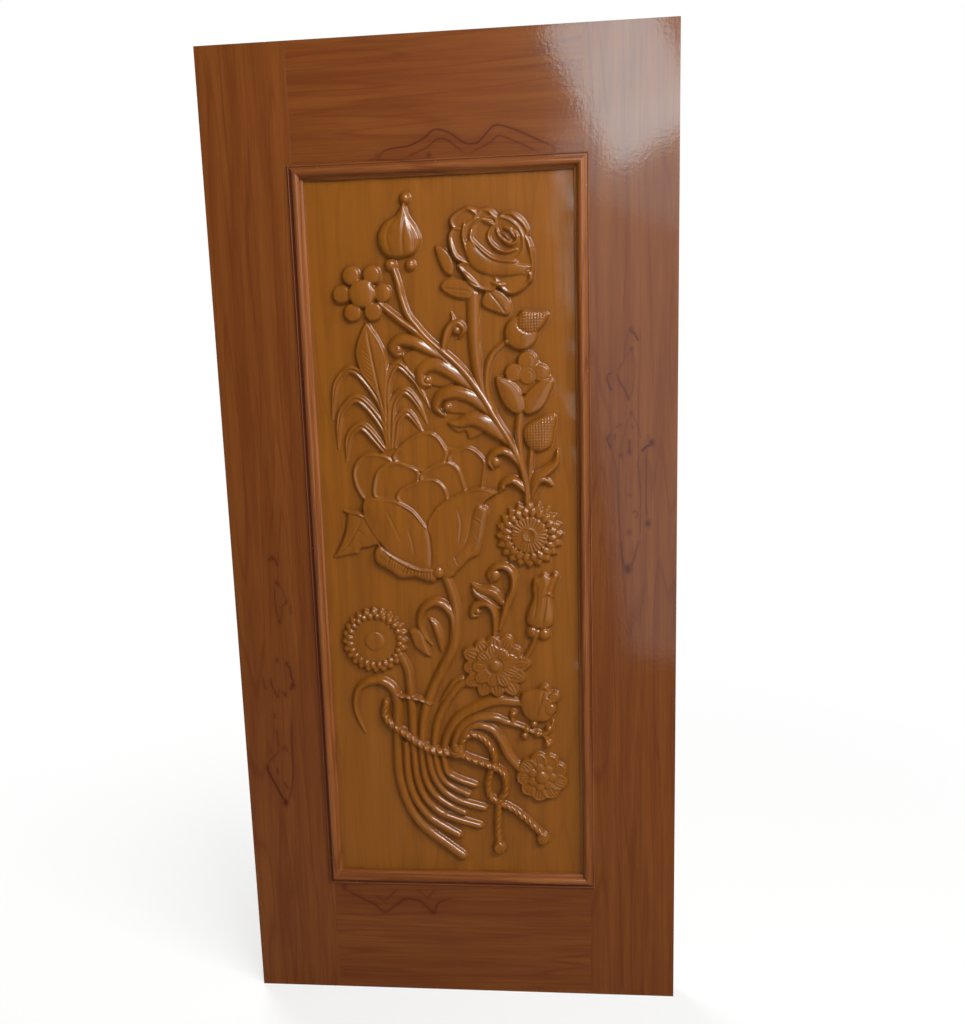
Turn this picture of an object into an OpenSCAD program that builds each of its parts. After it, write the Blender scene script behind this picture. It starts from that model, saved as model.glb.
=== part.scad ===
// Carved panel door leaf: two stiles and two rails joined by wedged through tenons, one carved
// panel held in a groove, and a mitred bolection moulding round the panel on both faces.
// Millimetres. +Z is up, the carved face looks along -Y, and the origin is at the middle of the foot.

/* [Door leaf] */
// Width of the leaf
leaf_w = 914; // [800:1:1000]
// Height of the leaf
leaf_h = 1981; // [1900:1:2150]
// Thickness of the stiles and rails
leaf_t = 38; // [36:0.5:46]

/* [Stiles and rails] */
// Width of each stile
stile_w = 177; // [150:1:195]
// Height of the top rail
top_rail_h = 234; // [215:1:270]
// Height of the bottom rail
bottom_rail_h = 263; // [220:1:300]

/* [Joinery] */
// Width of the groove that holds the panel
groove_w = 12; // [9:0.5:14]
// Depth of the groove
groove_d = 12; // [8:0.5:15]
// Height of each of the two tenons at a rail's end
tenon_h = 62; // [50:1:70]
// Gap between the two tenons of a rail's end
tenon_gap = 52; // [35:1:60]
// Length of the wedges driven in at the stile's edge
wedge_l = 80; // [50:1:110]
// Thickness of a wedge at its driven end
wedge_t = 6; // [4:0.5:8]
// Thickness of a wedge at its thin end
wedge_tip_t = 1.5; // [1:0.5:2.5]

/* [Panel] */
// Thickness of the panel behind the carving
panel_t = 18; // [15:0.5:22]
// Room left for the panel to move in the bottom of the groove
panel_play = 0.9; // [0.3:0.1:2]
// Gap between the panel's tongue and each cheek of the groove
tongue_gap = 0.25; // [0.1:0.05:0.5]
// Height of the tallest carving above the ground of the panel
relief = 16; // [10:0.5:16]

/* [Moulding] */
// Full width of the moulding
moulding_w = 28; // [25:0.5:34]
// How far the moulding laps over the stiles and rails
lap = 9; // [8:0.5:11]
// Thickness of the lap at its quirk
lip_t = 2.2; // [1.5:0.1:3]
// Radius of the bead along the outer edge
bead_r = 1.6; // [1:0.1:2]
// Radius of the main round
round_r = 8; // [7:0.5:9]
// Height of the main round above the face of the leaf
crest = 7; // [5:0.5:8]
// Radius of the cove beside the panel
cove_r = 6; // [4:0.5:7]
// Gap between the moulding and the ground of the panel
ground_gap = 0.2; // [0.1:0.1:0.5]

/* [Pins] */
// Diameter of the panel pins
pin_d = 1.4; // [1:0.1:1.6]
// Length of the panel pins
pin_l = 13; // [10:0.5:14]
// Pins in a long moulding
long_pins = 5; // [3:1:8]
// Pins in a short moulding
short_pins = 3; // [2:1:5]
// Distance from a moulding's end to its nearest pin
pin_end = 60; // [40:1:100]

/* [Hidden] */

stain_red = "#7a4420";
stain_gold = "#93611f";
wedge_wood = "#9c6b3a";
pin_steel = "#8c8c8c";

// The opening inside the stiles and rails, and the face of the panel that shows inside the moulding
open_w = leaf_w - 2 * stile_w;
open_h = leaf_h - top_rail_h - bottom_rail_h;
open_z = bottom_rail_h + open_h / 2;
recess = (leaf_t - panel_t) / 2;
inner_u = moulding_w - lap;
field_w = open_w - 2 * inner_u;
field_h = open_h - 2 * inner_u;
// The cove bites this far into the main round, so that they meet in a crisp edge
cove_bite = 0.5;
round_u = inner_u - cove_r - round_r + cove_bite;
quirk_u = (-lap + 2 * bead_r + round_u - sqrt(round_r ^ 2 - (round_r - crest + lip_t) ^ 2)) / 2;
// Cuts run this far past the faces that they open
over = 1;

// The carving is drawn on a field of this size, with heights measured from the door's foot
drawn_field = [522, 1446];
drawn_centre = 1005;
drawn_relief = 16;
// Carved forms reach this far below the ground, so that each one grows out of the board
root = 4;

// Smooth curves and the solids that follow them

// Value at t, from 0 to 1, of the parabola through v[0], v[1] at the middle and v[2]
function through3(v, t) = v[0] * (1 - t) * (1 - 2 * t) + v[1] * 4 * t * (1 - t) + v[2] * t * (2 * t - 1);

// Catmull-Rom blend of four neighbouring points
function blend4(a, b, c, d, f) =
    0.5 * (2 * b + (c - a) * f + (2 * a - 5 * b + 4 * c - d) * f ^ 2 + (3 * b - a - 3 * c + d) * f ^ 3);

// Points along the open curve through p, with a number of steps in each span
function open_curve(p, steps) =
    let (n = len(p))
    [for (i = [0 : n - 2], k = [0 : steps - 1])
        blend4(i == 0 ? 2 * p[0] - p[1] : p[i - 1], p[i], p[i + 1],
               i == n - 2 ? 2 * p[n - 1] - p[n - 2] : p[i + 2], k / steps),
     p[n - 1]];

// Points along the closed curve through p
function closed_curve(p, steps) =
    let (n = len(p))
    [for (i = [0 : n - 1], k = [0 : steps - 1])
        blend4(p[(i + n - 1) % n], p[i], p[(i + 1) % n], p[(i + 2) % n], k / steps)];

// The same outline taken counter-clockwise, whichever way it was drawn
function counter_clockwise(p) =
    let (n = len(p), turns = [for (i = [0 : n - 1]) cross(p[i], p[(i + 1) % n])])
    turns * [for (i = [1 : n]) 1] > 0 ? p : [for (i = [n - 1 : -1 : 0]) p[i]];

function unit(v) = v / max(norm(v), 0.000001);
function left_of(v) = [-v[1], v[0]];
function tangent(p, i) = unit(p[min(i + 1, len(p) - 1)] - p[max(i - 1, 0)]);

// Cross-sections as pairs of share of the half width and share of the height. A stroke takes the sections
// of its list in turn, ring by ring.
round_stem = [[[1, 0], [0.55, 0.9], [-0.55, 0.9], [-1, 0]]];
ridged_blade = [[[1, 0], [0.6, 0.9], [0, 0.5], [-0.6, 0.9], [-1, 0]]];
laid_cord = [[[1, 0], [0.75, 0.95], [-0.15, 0.7], [-1, 0]], [[1, 0], [0.15, 0.7], [-0.75, 0.95], [-1, 0]]];

// Faces of a tube of closed rings, with both ends capped
function tube_faces(rings, sides) = concat(
    [[for (k = [0 : sides - 1]) k]],
    [for (i = [0 : rings - 2], k = [0 : sides - 1])
        [i * sides + k, (i + 1) * sides + k, (i + 1) * sides + (k + 1) % sides, i * sides + (k + 1) % sides]],
    [[for (k = [sides - 1 : -1 : 0]) (rings - 1) * sides + k]]);

// A carved stem, blade or scroll: sections swept along a route, their half width and height each given
// at the start, the middle and the end
module stroke(route, half, high, sections = round_stem, steps = 1) {
    line = open_curve(route, steps);
    last = len(line) - 1;
    rings = [for (i = [0 : last])
        let (side = left_of(tangent(line, i)), w = max(through3(half, i / last), 0.4),
             h = max(through3(high, i / last), 0.6))
        concat([[each (line[i] + side * w), -root]],
               [for (s = sections[i % len(sections)]) [each (line[i] + side * w * s[0]), h * s[1]]],
               [[each (line[i] - side * w), -root]])];
    polyhedron([for (r = rings) each r], tube_faces(last + 1, len(sections[0]) + 2), convexity = 6);
}

// A carved petal or leaf: a closed outline with an edge of one height and a crown of another
module petal(outline, edge, crown, steps = 1) {
    rim = closed_curve(counter_clockwise(outline), steps);
    n = len(rim);
    centre = [for (axis = [0, 1]) (max([for (p = rim) p[axis]]) + min([for (p = rim) p[axis]])) / 2];
    shoulder = 0.62;
    shoulder_h = edge + (crown - edge) * sqrt(1 - shoulder ^ 2);
    levels = [[for (p = rim) [each p, -root]], [for (p = rim) [each p, edge]],
              [for (p = rim) [each (centre + (p - centre) * shoulder), shoulder_h]]];
    rings = len(levels);
    polyhedron(concat([for (l = levels) each l], [[each centre, crown]]),
        concat([[for (k = [0 : n - 1]) k]],
            [for (i = [0 : rings - 2], k = [0 : n - 1])
                [i * n + k, (i + 1) * n + k, (i + 1) * n + (k + 1) % n, i * n + (k + 1) % n]],
            [for (k = [0 : n - 1]) [(rings - 1) * n + k, rings * n, (rings - 1) * n + (k + 1) % n]]),
        convexity = 6);
}

// A round boss or berry
module ball(place, r, high, sides = 8) {
    translate(place) scale([1, 1, high / r]) sphere(r, $fn = sides);
}

// Copies of a shape round a centre
module ring_of(count, centre, turn = 0) {
    for (k = [0 : count - 1]) translate(centre) rotate(turn + k * 360 / count) children();
}

// A pointed petal of a ring, lying along +X between two distances from the centre
module pointed_petal(from, to, half, high) {
    widest = 0.55;
    tip_r = 0.8;
    hull() {
        translate([from, 0, -root]) cylinder(h = root + high, r1 = half / 2, r2 = half / 4, $fn = 4);
        translate([from + (to - from) * widest, 0, -root])
            cylinder(h = root + high, r1 = half, r2 = half / 3, $fn = 6);
        translate([to, 0, -root]) cylinder(h = root + high / 3, r = tip_r, $fn = 4);
    }
}

// A four-sided scale of a seed head, lying along +X between two distances from the centre
module scale_petal(from, to, half, high) {
    crown_share = 0.12;
    translate([(from + to) / 2, 0, -root]) scale([(to - from) / 2, half, 1])
        cylinder(h = high + root, r1 = 1, r2 = crown_share, $fn = 4);
}

// Flowers, leaves and stems of the carved bouquet, in drawn coordinates

module stems() {
    // The branch down to the sunflower, and the stems that join it
    stroke([[-120, 1490], [-80, 1454], [-45, 1428], [-20, 1408], [0, 1390], [25, 1370], [50, 1340],
            [75, 1305], [95, 1270], [110, 1245], [125, 1220], [140, 1190], [150, 1165], [158, 1130],
            [160, 1098]], [6, 9, 6], [7, 10, 8]);
    stroke([[-92, 1558], [-84, 1530], [-78, 1500], [-68, 1470], [-50, 1445], [-30, 1424], [0, 1399]],
           [5, 7, 5], [6, 8, 8]);
    stroke([[63, 1502], [62, 1440], [63, 1400], [67, 1360], [75, 1320], [90, 1278]], [13, 12, 7], [8, 9, 8]);
    stroke([[120, 1408], [100, 1390], [88, 1365], [84, 1335], [86, 1310], [92, 1285], [110, 1246]],
           [6, 6, 5], [6, 7, 7]);
    stroke([[150, 1274], [146, 1240], [147, 1210], [150, 1180], [157, 1146]], [8, 8, 5], [7, 7, 7]);
    stroke([[172, 1204], [166, 1160], [164, 1104]], [6, 6, 5], [6, 7, 7]);
    // Stems that rise from the tie
    stroke([[-12, 945], [2, 905], [8, 870], [6, 830], [0, 790], [-20, 750], [-45, 700], [-64, 650],
            [-72, 600], [-74, 554]], [10, 11, 8], [8, 10, 8]);
    stroke([[-122, 780], [-108, 762], [-98, 740], [-95, 710], [-93, 680], [-92, 640], [-92, 558]],
           [9, 10, 7], [7, 8, 8]);
    stroke([[-196, 600], [-208, 630], [-213, 660], [-205, 695], [-185, 712], [-160, 717], [-140, 708],
            [-127, 690], [-123, 660], [-126, 610], [-128, 572]], [1, 9, 9], [3, 10, 9]);
    stroke([[36, 722], [5, 700], [-20, 665], [-40, 620], [-50, 552]], [7, 8, 7], [7, 8, 8]);
    stroke([[140, 668], [90, 672], [50, 660], [10, 638], [-15, 605], [-32, 549]], [9, 10, 7], [7, 9, 8]);
    stroke([[130, 618], [110, 625], [80, 635], [40, 633], [8, 610], [-12, 551]], [5, 8, 6], [7, 9, 8]);
    stroke([[140, 518], [125, 530], [108, 555], [95, 585], [75, 610], [45, 618], [20, 604], [0, 554]],
           [10, 8, 5], [8, 9, 8]);
    // Cut ends of the stems, below the tie
    stroke([[-128, 590], [-128, 540], [-126, 500], [-115, 455], [-95, 410], [-65, 375], [-30, 347], [6, 319]],
           [9, 10, 10], [8, 10, 9]);
    stroke([[-108, 572], [-106, 500], [-92, 450], [-65, 410], [-35, 388], [-2, 368]], [8, 9, 8], [8, 9, 8]);
    stroke([[-92, 568], [-88, 505], [-72, 455], [-40, 420], [0, 403], [44, 390]], [7, 8, 8], [8, 9, 9]);
    stroke([[-77, 568], [-72, 510], [-55, 467], [-25, 440], [12, 420]], [7, 8, 7], [8, 8, 7]);
    stroke([[-62, 568], [-55, 515], [-35, 475], [0, 448], [54, 431]], [7, 8, 8], [8, 9, 9]);
    stroke([[-47, 563], [-40, 515], [-20, 485], [22, 462]], [7, 8, 7], [8, 8, 7]);
    stroke([[-30, 560], [-22, 515], [0, 497], [37, 483]], [7, 8, 7], [8, 8, 7]);
}

// Curled leaves along the branch, each with the eye of its curl
module scroll_leaves() {
    for (leaf = [
        [[[0, 1385], [-30, 1400], [-55, 1414], [-85, 1420], [-104, 1408], [-94, 1393]], [4, 9, 4]],
        [[[45, 1330], [20, 1355], [-8, 1370], [-32, 1366], [-48, 1346], [-38, 1328]], [5, 11, 4]],
        [[[95, 1270], [72, 1292], [48, 1310], [20, 1316], [-8, 1308], [-18, 1286], [-4, 1268]], [5, 10, 4]],
        [[[130, 1215], [105, 1238], [80, 1255], [50, 1262], [25, 1254], [6, 1254]], [5, 13, 2]],
        [[[150, 1165], [136, 1184], [118, 1197], [98, 1194], [84, 1178], [92, 1162]], [4, 9, 4]],
        [[[158, 1122], [146, 1132], [130, 1138], [114, 1132], [106, 1120]], [4, 8, 4]],
        [[[2, 1392], [6, 1420], [16, 1442], [32, 1448], [42, 1436]], [4, 8, 4]],
        [[[168, 1105], [178, 1140], [200, 1156], [218, 1172], [223, 1196]], [4, 11, 1]],
        [[[170, 1110], [182, 1132], [197, 1136], [210, 1126]], [3, 6, 3]],
        [[[98, 830], [115, 880], [128, 910], [130, 940], [115, 960], [94, 960], [78, 946], [82, 930]],
         [5, 8, 4]],
        [[[88, 818], [90, 855], [82, 878], [65, 885], [46, 876], [42, 858]], [5, 8, 4]],
        [[[104, 884], [84, 904], [62, 908], [42, 923]], [5, 11, 1]]
    ]) stroke(leaf[0], leaf[1], [6, 11, 7]);
    stroke([[15, 1440], [22, 1456], [18, 1471]], [6, 4, 0.5], [7, 6, 3]);
    for (eye = [[-93, 1404], [-35, 1341], [5, 1287], [98, 1176], [28, 1438], [90, 942], [54, 866]])
        ball(eye, 9, 10);
    petal([[-78, 1390], [-50, 1402], [-16, 1386], [-36, 1358], [-58, 1353], [-72, 1366]], 3, 6);
    petal([[70, 1254], [40, 1252], [8, 1250], [26, 1236], [44, 1222], [72, 1234]], 3, 6);
}

// Arching blades with a pointed leaf between them
module blade_spray() {
    for (blade = [
        [[-119, 1179], [-122, 1270], [-135, 1310], [-165, 1352], [-188, 1366], [-210, 1350], [-222, 1325],
         [-230, 1268]],
        [[-117, 1184], [-122, 1238], [-150, 1285], [-180, 1308], [-208, 1285], [-217, 1258], [-221, 1210]],
        [[-110, 1187], [-130, 1208], [-160, 1245], [-177, 1251], [-198, 1230], [-205, 1183]],
        [[-115, 1174], [-118, 1300], [-112, 1345], [-92, 1372], [-62, 1345], [-48, 1322], [-30, 1286]],
        [[-113, 1181], [-110, 1260], [-103, 1300], [-80, 1321], [-55, 1295], [-37, 1256]],
        [[-107, 1183], [-103, 1235], [-97, 1262], [-75, 1277], [-45, 1238]]
    ]) stroke(blade, [4, 8, 1], [6, 9, 2], ridged_blade);
    petal([[-152, 1456], [-172, 1418], [-176, 1390], [-165, 1355], [-136, 1310], [-120, 1240], [-116, 1310],
           [-111, 1375], [-120, 1412], [-136, 1440]], 3, 8);
}

module poppy_bud() {
    petal([[-100, 1579], [-117, 1598], [-121, 1620], [-108, 1644], [-82, 1658], [-66, 1680], [-56, 1656],
           [-42, 1632], [-35, 1608], [-48, 1585], [-74, 1577]], 5, 15);
    ball([-64, 1688], 10, 9);
    ball([-97, 1566], 11, 9);
    ball([-58, 1563], 10, 9);
}

module round_daisy() {
    ring_of(6, [-156, 1512]) ball([41, 0], 19, 9);
    ball([-156, 1512], 27, 13, 12);
}

module rose() {
    for (sepal = [
        [[-9, 1594], [12, 1590], [26, 1566], [22, 1542], [4, 1552]],
        [[0, 1519], [18, 1535], [64, 1522], [56, 1497], [24, 1500]],
        [[79, 1484], [92, 1512], [122, 1504], [136, 1484], [130, 1462]]
    ]) petal(sepal, 4, 6);
    for (outer = [
        [[21, 1643], [36, 1659], [62, 1665], [86, 1656], [62, 1622], [34, 1622]],
        [[18, 1614], [30, 1630], [58, 1616], [66, 1562], [34, 1567], [21, 1588]],
        [[64, 1640], [84, 1662], [110, 1644], [96, 1618], [74, 1614]],
        [[118, 1650], [136, 1655], [161, 1641], [174, 1614], [150, 1596], [120, 1618]],
        [[146, 1606], [172, 1602], [183, 1560], [174, 1532], [140, 1556]],
        [[32, 1560], [62, 1562], [112, 1534], [100, 1508], [62, 1518], [42, 1546]],
        [[106, 1534], [140, 1544], [177, 1536], [168, 1514], [145, 1501], [124, 1506]]
    ]) petal(outer, 8, 10);
    petal([[48, 1600], [66, 1604], [90, 1577], [115, 1564], [146, 1560], [178, 1552], [150, 1537],
           [108, 1536], [72, 1546], [54, 1568]], 10, 13);
    ball([116, 1606], 41, 13, 10);
    for (turn = [
        [[92, 1632], [86, 1604], [104, 1580], [134, 1576], [156, 1598], [150, 1622]],
        [[112, 1618], [120, 1630], [140, 1624], [150, 1604], [136, 1588], [116, 1594]],
        [[122, 1606], [130, 1616], [140, 1606], [131, 1598]]
    ]) stroke(turn, [2, 5, 2], [13, 15.5, 15]);
}

module hatched_buds() {
    ball([155, 1426], 33, 12, 12);
    petal([[148, 1438], [156, 1468], [182, 1468], [209, 1460], [190, 1432], [168, 1424]], 8, 14);
    petal([[156, 1240], [160, 1210], [184, 1194], [208, 1204], [215, 1230], [219, 1264], [186, 1260]], 5, 13);
}

module lotus_bud() {
    ball([166, 1373], 20, 9);
    ball([140, 1351], 18, 9);
    ball([191, 1350], 17, 9);
    petal([[158, 1302], [154, 1280], [166, 1268], [192, 1279], [208, 1305], [216, 1334], [186, 1331]], 6, 11);
    petal([[103, 1343], [108, 1312], [122, 1284], [146, 1270], [160, 1284], [155, 1305], [145, 1325],
           [124, 1340]], 6, 12);
}

// Two rows of pointed scales round a domed seed head
module sunflower() {
    centre = [163, 1026];
    ring_of(20, centre) scale_petal(42, 71, 8.5, 8);
    ring_of(20, centre, 9) scale_petal(31, 57, 6.5, 11);
    ball(centre, 37, 10, 12);
    ball(centre, 12, 12);
}

// A flat dish with two rows of small scales round it
module bead_daisy() {
    centre = [-165, 804];
    ring_of(22, centre) scale_petal(53, 72, 8.5, 8);
    ring_of(22, centre, 8) scale_petal(43, 61, 7, 10);
    translate([each centre, -root]) cylinder(h = root + 6, r = 49.7, $fn = 20);
    ball(centre, 20, 11, 12);
}

module chrysanthemum() {
    centre = [87, 750];
    ring_of(13, centre) pointed_petal(20, 76, 14, 9);
    ring_of(9, centre, 20) pointed_petal(8, 48, 11, 13);
    ball(centre, 12, 15);
}

module ring_flower() {
    centre = [180, 504];
    ring_of(9, centre, 22) ball([34, 0], 19, 10);
    ball(centre, 17, 14);
}

// The large open flower: its leaf, back petals, front petals and turned-down lips
module great_flower() {
    petal([[-243, 982], [-218, 1030], [-204, 1076], [-170, 1066], [-142, 1018], [-170, 1002],
           [-205, 985]], 4, 7);
    for (back = [
        [[-165, 1102], [-184, 1118], [-194, 1153], [-185, 1181], [-162, 1197], [-118, 1188], [-106, 1130]],
        [[-112, 1186], [-82, 1222], [-45, 1239], [-18, 1230], [2, 1192], [-20, 1160], [-80, 1160]],
        [[0, 1184], [36, 1207], [62, 1199], [80, 1174], [76, 1146], [68, 1112], [26, 1108]]
    ]) petal(back, 5, 7);
    for (inner = [
        [[-150, 1106], [-149, 1150], [-131, 1173], [-108, 1179], [-84, 1174], [-56, 1152], [-86, 1106]],
        [[-14, 1156], [2, 1176], [22, 1166], [37, 1118], [0, 1098]]
    ]) petal(inner, 7, 9);
    petal([[-102, 1098], [-98, 1121], [-74, 1134], [-36, 1144], [-9, 1130], [-1, 1094], [-45, 1040]], 9, 11);
    petal([[-45, 1042], [-37, 1066], [-19, 1087], [14, 1107], [60, 1121], [99, 1113], [72, 1092], [58, 1046],
           [44, 1004], [22, 976], [-10, 962], [-44, 964]], 9, 14);
    petal([[-170, 1105], [-130, 1101], [-100, 1094], [-75, 1079], [-60, 1061], [-44, 1041], [-37, 1000],
           [-44, 963], [-78, 963], [-106, 976], [-142, 1010], [-172, 1066]], 9, 14);
    stroke([[-150, 1012], [-146, 988], [-124, 971], [-102, 956], [-74, 951], [-30, 947]],
           [6, 15, 16], [9, 14, 13]);
    stroke([[70, 1094], [74, 1062], [66, 1024], [50, 990], [28, 968], [4, 956], [-26, 954]],
           [8, 16, 12], [9, 14, 13]);
}

// A bud hanging from an arched stalk
module drooping_bud() {
    stroke([[2, 800], [0, 858], [-18, 882], [-40, 885], [-62, 868], [-69, 840], [-58, 812], [-44, 794]],
           [5, 8, 1], [8, 10, 4]);
    stroke([[-24, 780], [-28, 816], [-44, 848]], [1, 8, 2], [3, 8, 4]);
    petal([[-90, 826], [-87, 810], [-76, 786], [-48, 768], [-56, 797], [-70, 826]], 3, 7);
}

module bell_bud() {
    petal([[165, 926], [164, 900], [151, 856], [158, 836], [186, 828], [208, 840], [217, 880], [222, 934],
           [214, 947], [205, 938], [196, 947]], 5, 13);
    ball([165, 822], 12, 10);
    ball([190, 817], 12, 10);
    stroke([[176, 818], [166, 794], [150, 766]], [5, 5, 5], [6, 6, 6]);
}

module side_tulip() {
    petal([[140, 690], [138, 658], [146, 639], [160, 629], [192, 628], [208, 645], [212, 668], [196, 707],
           [172, 698]], 5, 12);
    for (lobe = [[209, 682], [194, 672], [202, 655]]) ball(lobe, 11, 13);
}

module berry_twig() {
    stroke([[120, 622], [140, 615], [165, 603], [186, 596], [194, 576]], [5, 4, 3], [7, 7, 6]);
    stroke([[180, 598], [196, 606], [204, 626]], [4, 5, 2], [6, 8, 5]);
    for (berry = [[122, 643], [145, 596], [165, 620], [171, 601], [197, 612], [194, 578]])
        ball(berry, 8, 9, 6);
}

// The twisted cord round the stems, with two hanging ends and their knots
module cord_tie() {
    stroke([[-120, 684], [-80, 676], [-54, 666]], [4, 4, 4], [12, 13, 12], laid_cord, steps = 2);
    stroke([[-148, 666], [-150, 640], [-138, 620], [-115, 603], [-80, 577], [-50, 562], [-4, 556]],
           [8, 8, 8], [13, 16, 15], laid_cord, steps = 2);
    stroke([[4, 563], [35, 597], [60, 585], [76, 562], [80, 540], [72, 515], [65, 490], [66, 465], [78, 450],
            [115, 430], [140, 410], [160, 390], [176, 374]], [7, 7, 7], [13, 11, 10], laid_cord, steps = 2);
    stroke([[4, 556], [25, 545], [60, 532], [80, 525], [97, 512], [103, 490], [100, 465], [88, 447],
            [85, 420], [83, 380], [85, 350]], [7, 7, 7], [14, 14, 10], laid_cord, steps = 2);
    ball([1, 561], 15, 16);
    ball([179, 364], 13, 11);
    ball([85, 341], 13, 11);
}

module bouquet() {
    stems();
    scroll_leaves();
    blade_spray();
    poppy_bud();
    round_daisy();
    rose();
    hatched_buds();
    lotus_bud();
    sunflower();
    bead_daisy();
    chrysanthemum();
    ring_flower();
    great_flower();
    drooping_bud();
    bell_bud();
    side_tulip();
    berry_twig();
    cord_tie();
}

// Joinery of the stiles and rails

// Turns a drawing on the XY plane, with heights along +Z, to face the front of the door
module facing_front(y) {
    translate([0, y, 0]) rotate([90, 0, 0]) children();
}

// Middle heights of a rail's two tenons, for a rail that ends at the given height and grows inwards
function tenon_centres(rail_h) =
    let (free_h = rail_h - groove_d) [for (side = [-1, 1]) free_h / 2 + side * (tenon_gap + tenon_h) / 2];

// Outline of a mortise in a stile, seen from the front: the tenon's height, flared for the wedges
module mortise_outline() {
    half = tenon_h / 2;
    thin_u = stile_w - wedge_l;
    polygon([[0, -half], [thin_u, -half - wedge_tip_t], [stile_w, -half - wedge_t],
             [stile_w, half + wedge_t], [thin_u, half + wedge_tip_t], [0, half]]);
}

module wedge_outline() {
    polygon([[stile_w - wedge_l, tenon_h / 2], [stile_w, tenon_h / 2], [stile_w, tenon_h / 2 + wedge_t],
             [stile_w - wedge_l, tenon_h / 2 + wedge_tip_t]]);
}

// A drawing in the stile's own plane, cut as thick as the tenons and centred in the leaf
module tenon_thick() {
    facing_front(groove_w / 2) linear_extrude(groove_w) children();
}

// Heights of all the tenons of one stile
tenon_heights = concat(tenon_centres(bottom_rail_h), [for (z = tenon_centres(top_rail_h)) leaf_h - z]);

// The stile on the right of the door: mortised, grooved for the panel, and drilled for the pins
module stile() {
    difference() {
        translate([open_w / 2, -leaf_t / 2, 0]) cube([stile_w, leaf_t, leaf_h]);
        translate([open_w / 2 - over, -groove_w / 2, -over])
            cube([groove_d + over, groove_w, leaf_h + 2 * over]);
        for (z = tenon_heights) translate([open_w / 2, 0, z]) tenon_thick() mortise_outline();
        for (face = [0, 1]) mirror([0, face, 0]) side_pins(90, open_h, open_w);
    }
}

module stile_left() {
    color(stain_red) mirror([1, 0, 0]) stile();
}

module stile_right() {
    color(stain_red) stile();
}

// A rail that stands on z = 0, with its panel edge upwards, a haunch and two tenons at each end
module rail(rail_h) {
    difference() {
        union() {
            translate([-open_w / 2, -leaf_t / 2, 0]) cube([open_w, leaf_t, rail_h]);
            translate([-open_w / 2 - groove_d, -groove_w / 2, 0])
                cube([open_w + 2 * groove_d, groove_w, rail_h - groove_d]);
            for (z = tenon_centres(rail_h)) translate([-leaf_w / 2, -groove_w / 2, z - tenon_h / 2])
                cube([leaf_w, groove_w, tenon_h]);
        }
        translate([-leaf_w / 2 - over, -groove_w / 2, rail_h - groove_d])
            cube([leaf_w + 2 * over, groove_w, groove_d + over]);
    }
}

module rail_bottom() {
    color(stain_red) difference() {
        rail(bottom_rail_h);
        for (face = [0, 1]) mirror([0, face, 0]) side_pins(0, open_w, open_h);
    }
}

module rail_top() {
    color(stain_red) difference() {
        translate([0, 0, leaf_h]) mirror([0, 0, 1]) rail(top_rail_h);
        for (face = [0, 1]) mirror([0, face, 0]) side_pins(180, open_w, open_h);
    }
}

// Four wedges at each corner of the leaf
module tenon_wedges() {
    color(wedge_wood) for (side = [0, 1], z = tenon_heights, edge = [0, 1])
        mirror([side, 0, 0]) translate([open_w / 2, 0, z]) mirror([0, 0, edge]) tenon_thick() wedge_outline();
}

// The carved panel: a board with a tongue all round, and the bouquet on its front
module carved_panel() {
    tongue_w = open_w + 2 * (groove_d - panel_play);
    tongue_h = open_h + 2 * (groove_d - panel_play);
    tongue_t = groove_w - 2 * tongue_gap;
    board_w = open_w - 2 * panel_play;
    board_h = open_h - 2 * panel_play;
    color(stain_gold) union() {
        translate([-tongue_w / 2, -tongue_t / 2, open_z - tongue_h / 2]) cube([tongue_w, tongue_t, tongue_h]);
        translate([-board_w / 2, -panel_t / 2, open_z - board_h / 2]) cube([board_w, panel_t, board_h]);
        facing_front(-panel_t / 2) translate([0, open_z])
            scale([field_w / drawn_field[0], field_h / drawn_field[1], relief / drawn_relief])
            translate([0, -drawn_centre]) bouquet();
    }
}

// Mouldings and their pins

// Section of the moulding: u runs from the edge of the opening towards the panel, v out of the leaf's face
module moulding_section() {
    difference() {
        union() {
            translate([-lap, 0]) square([lap + round_u, lip_t]);
            translate([0, ground_gap - recess]) square([inner_u, recess - ground_gap]);
            translate([-lap + bead_r, lip_t]) circle(bead_r, $fn = 32);
            translate([round_u, crest - round_r]) circle(round_r, $fn = 64);
        }
        translate([inner_u, 0]) circle(cove_r, $fn = 48);
        translate([-lap - over, -round_r - recess]) square([lap + over, round_r + recess]);
        translate([0, -2 * round_r - recess]) square([inner_u, 2 * round_r + ground_gap]);
    }
}

// One side of the frame of mouldings, seen from the front: turned to its side, with mitred ends
module moulding_side(turn, run, across) {
    outer = run + 2 * lap;
    translate([0, open_z]) rotate(turn) translate([0, -across / 2]) intersection() {
        translate([-outer / 2, 0, 0]) rotate([90, 0, 90]) linear_extrude(outer) moulding_section();
        translate([0, 0, -recess - over]) linear_extrude(recess + crest + 2 * over)
            polygon([[-outer / 2, -lap], [outer / 2, -lap], [outer / 2 - moulding_w, inner_u],
                     [moulding_w - outer / 2, inner_u]]);
    }
}

// Pins along one side, driven through the quirk of the moulding into the stile or rail
module side_pins(turn, run, across) {
    count = run > open_w ? long_pins : short_pins;
    reach = run / 2 + lap - pin_end;
    facing_front(-leaf_t / 2) translate([0, open_z]) rotate(turn) for (k = [0 : count - 1])
        translate([-reach + 2 * reach * k / (count - 1), quirk_u - across / 2, lip_t - pin_l])
            cylinder(h = pin_l, d = pin_d, $fn = 24);
}

module moulding(turn, run, across) {
    difference() {
        facing_front(-leaf_t / 2) moulding_side(turn, run, across);
        side_pins(turn, run, across);
    }
}

// The pins of all four sides
module pins() {
    side_pins(0, open_w, open_h);
    side_pins(90, open_h, open_w);
    side_pins(180, open_w, open_h);
    side_pins(270, open_h, open_w);
}

// The back of the leaf has the same mouldings and pins as the front
module on_back() {
    mirror([0, 1, 0]) children();
}

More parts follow.
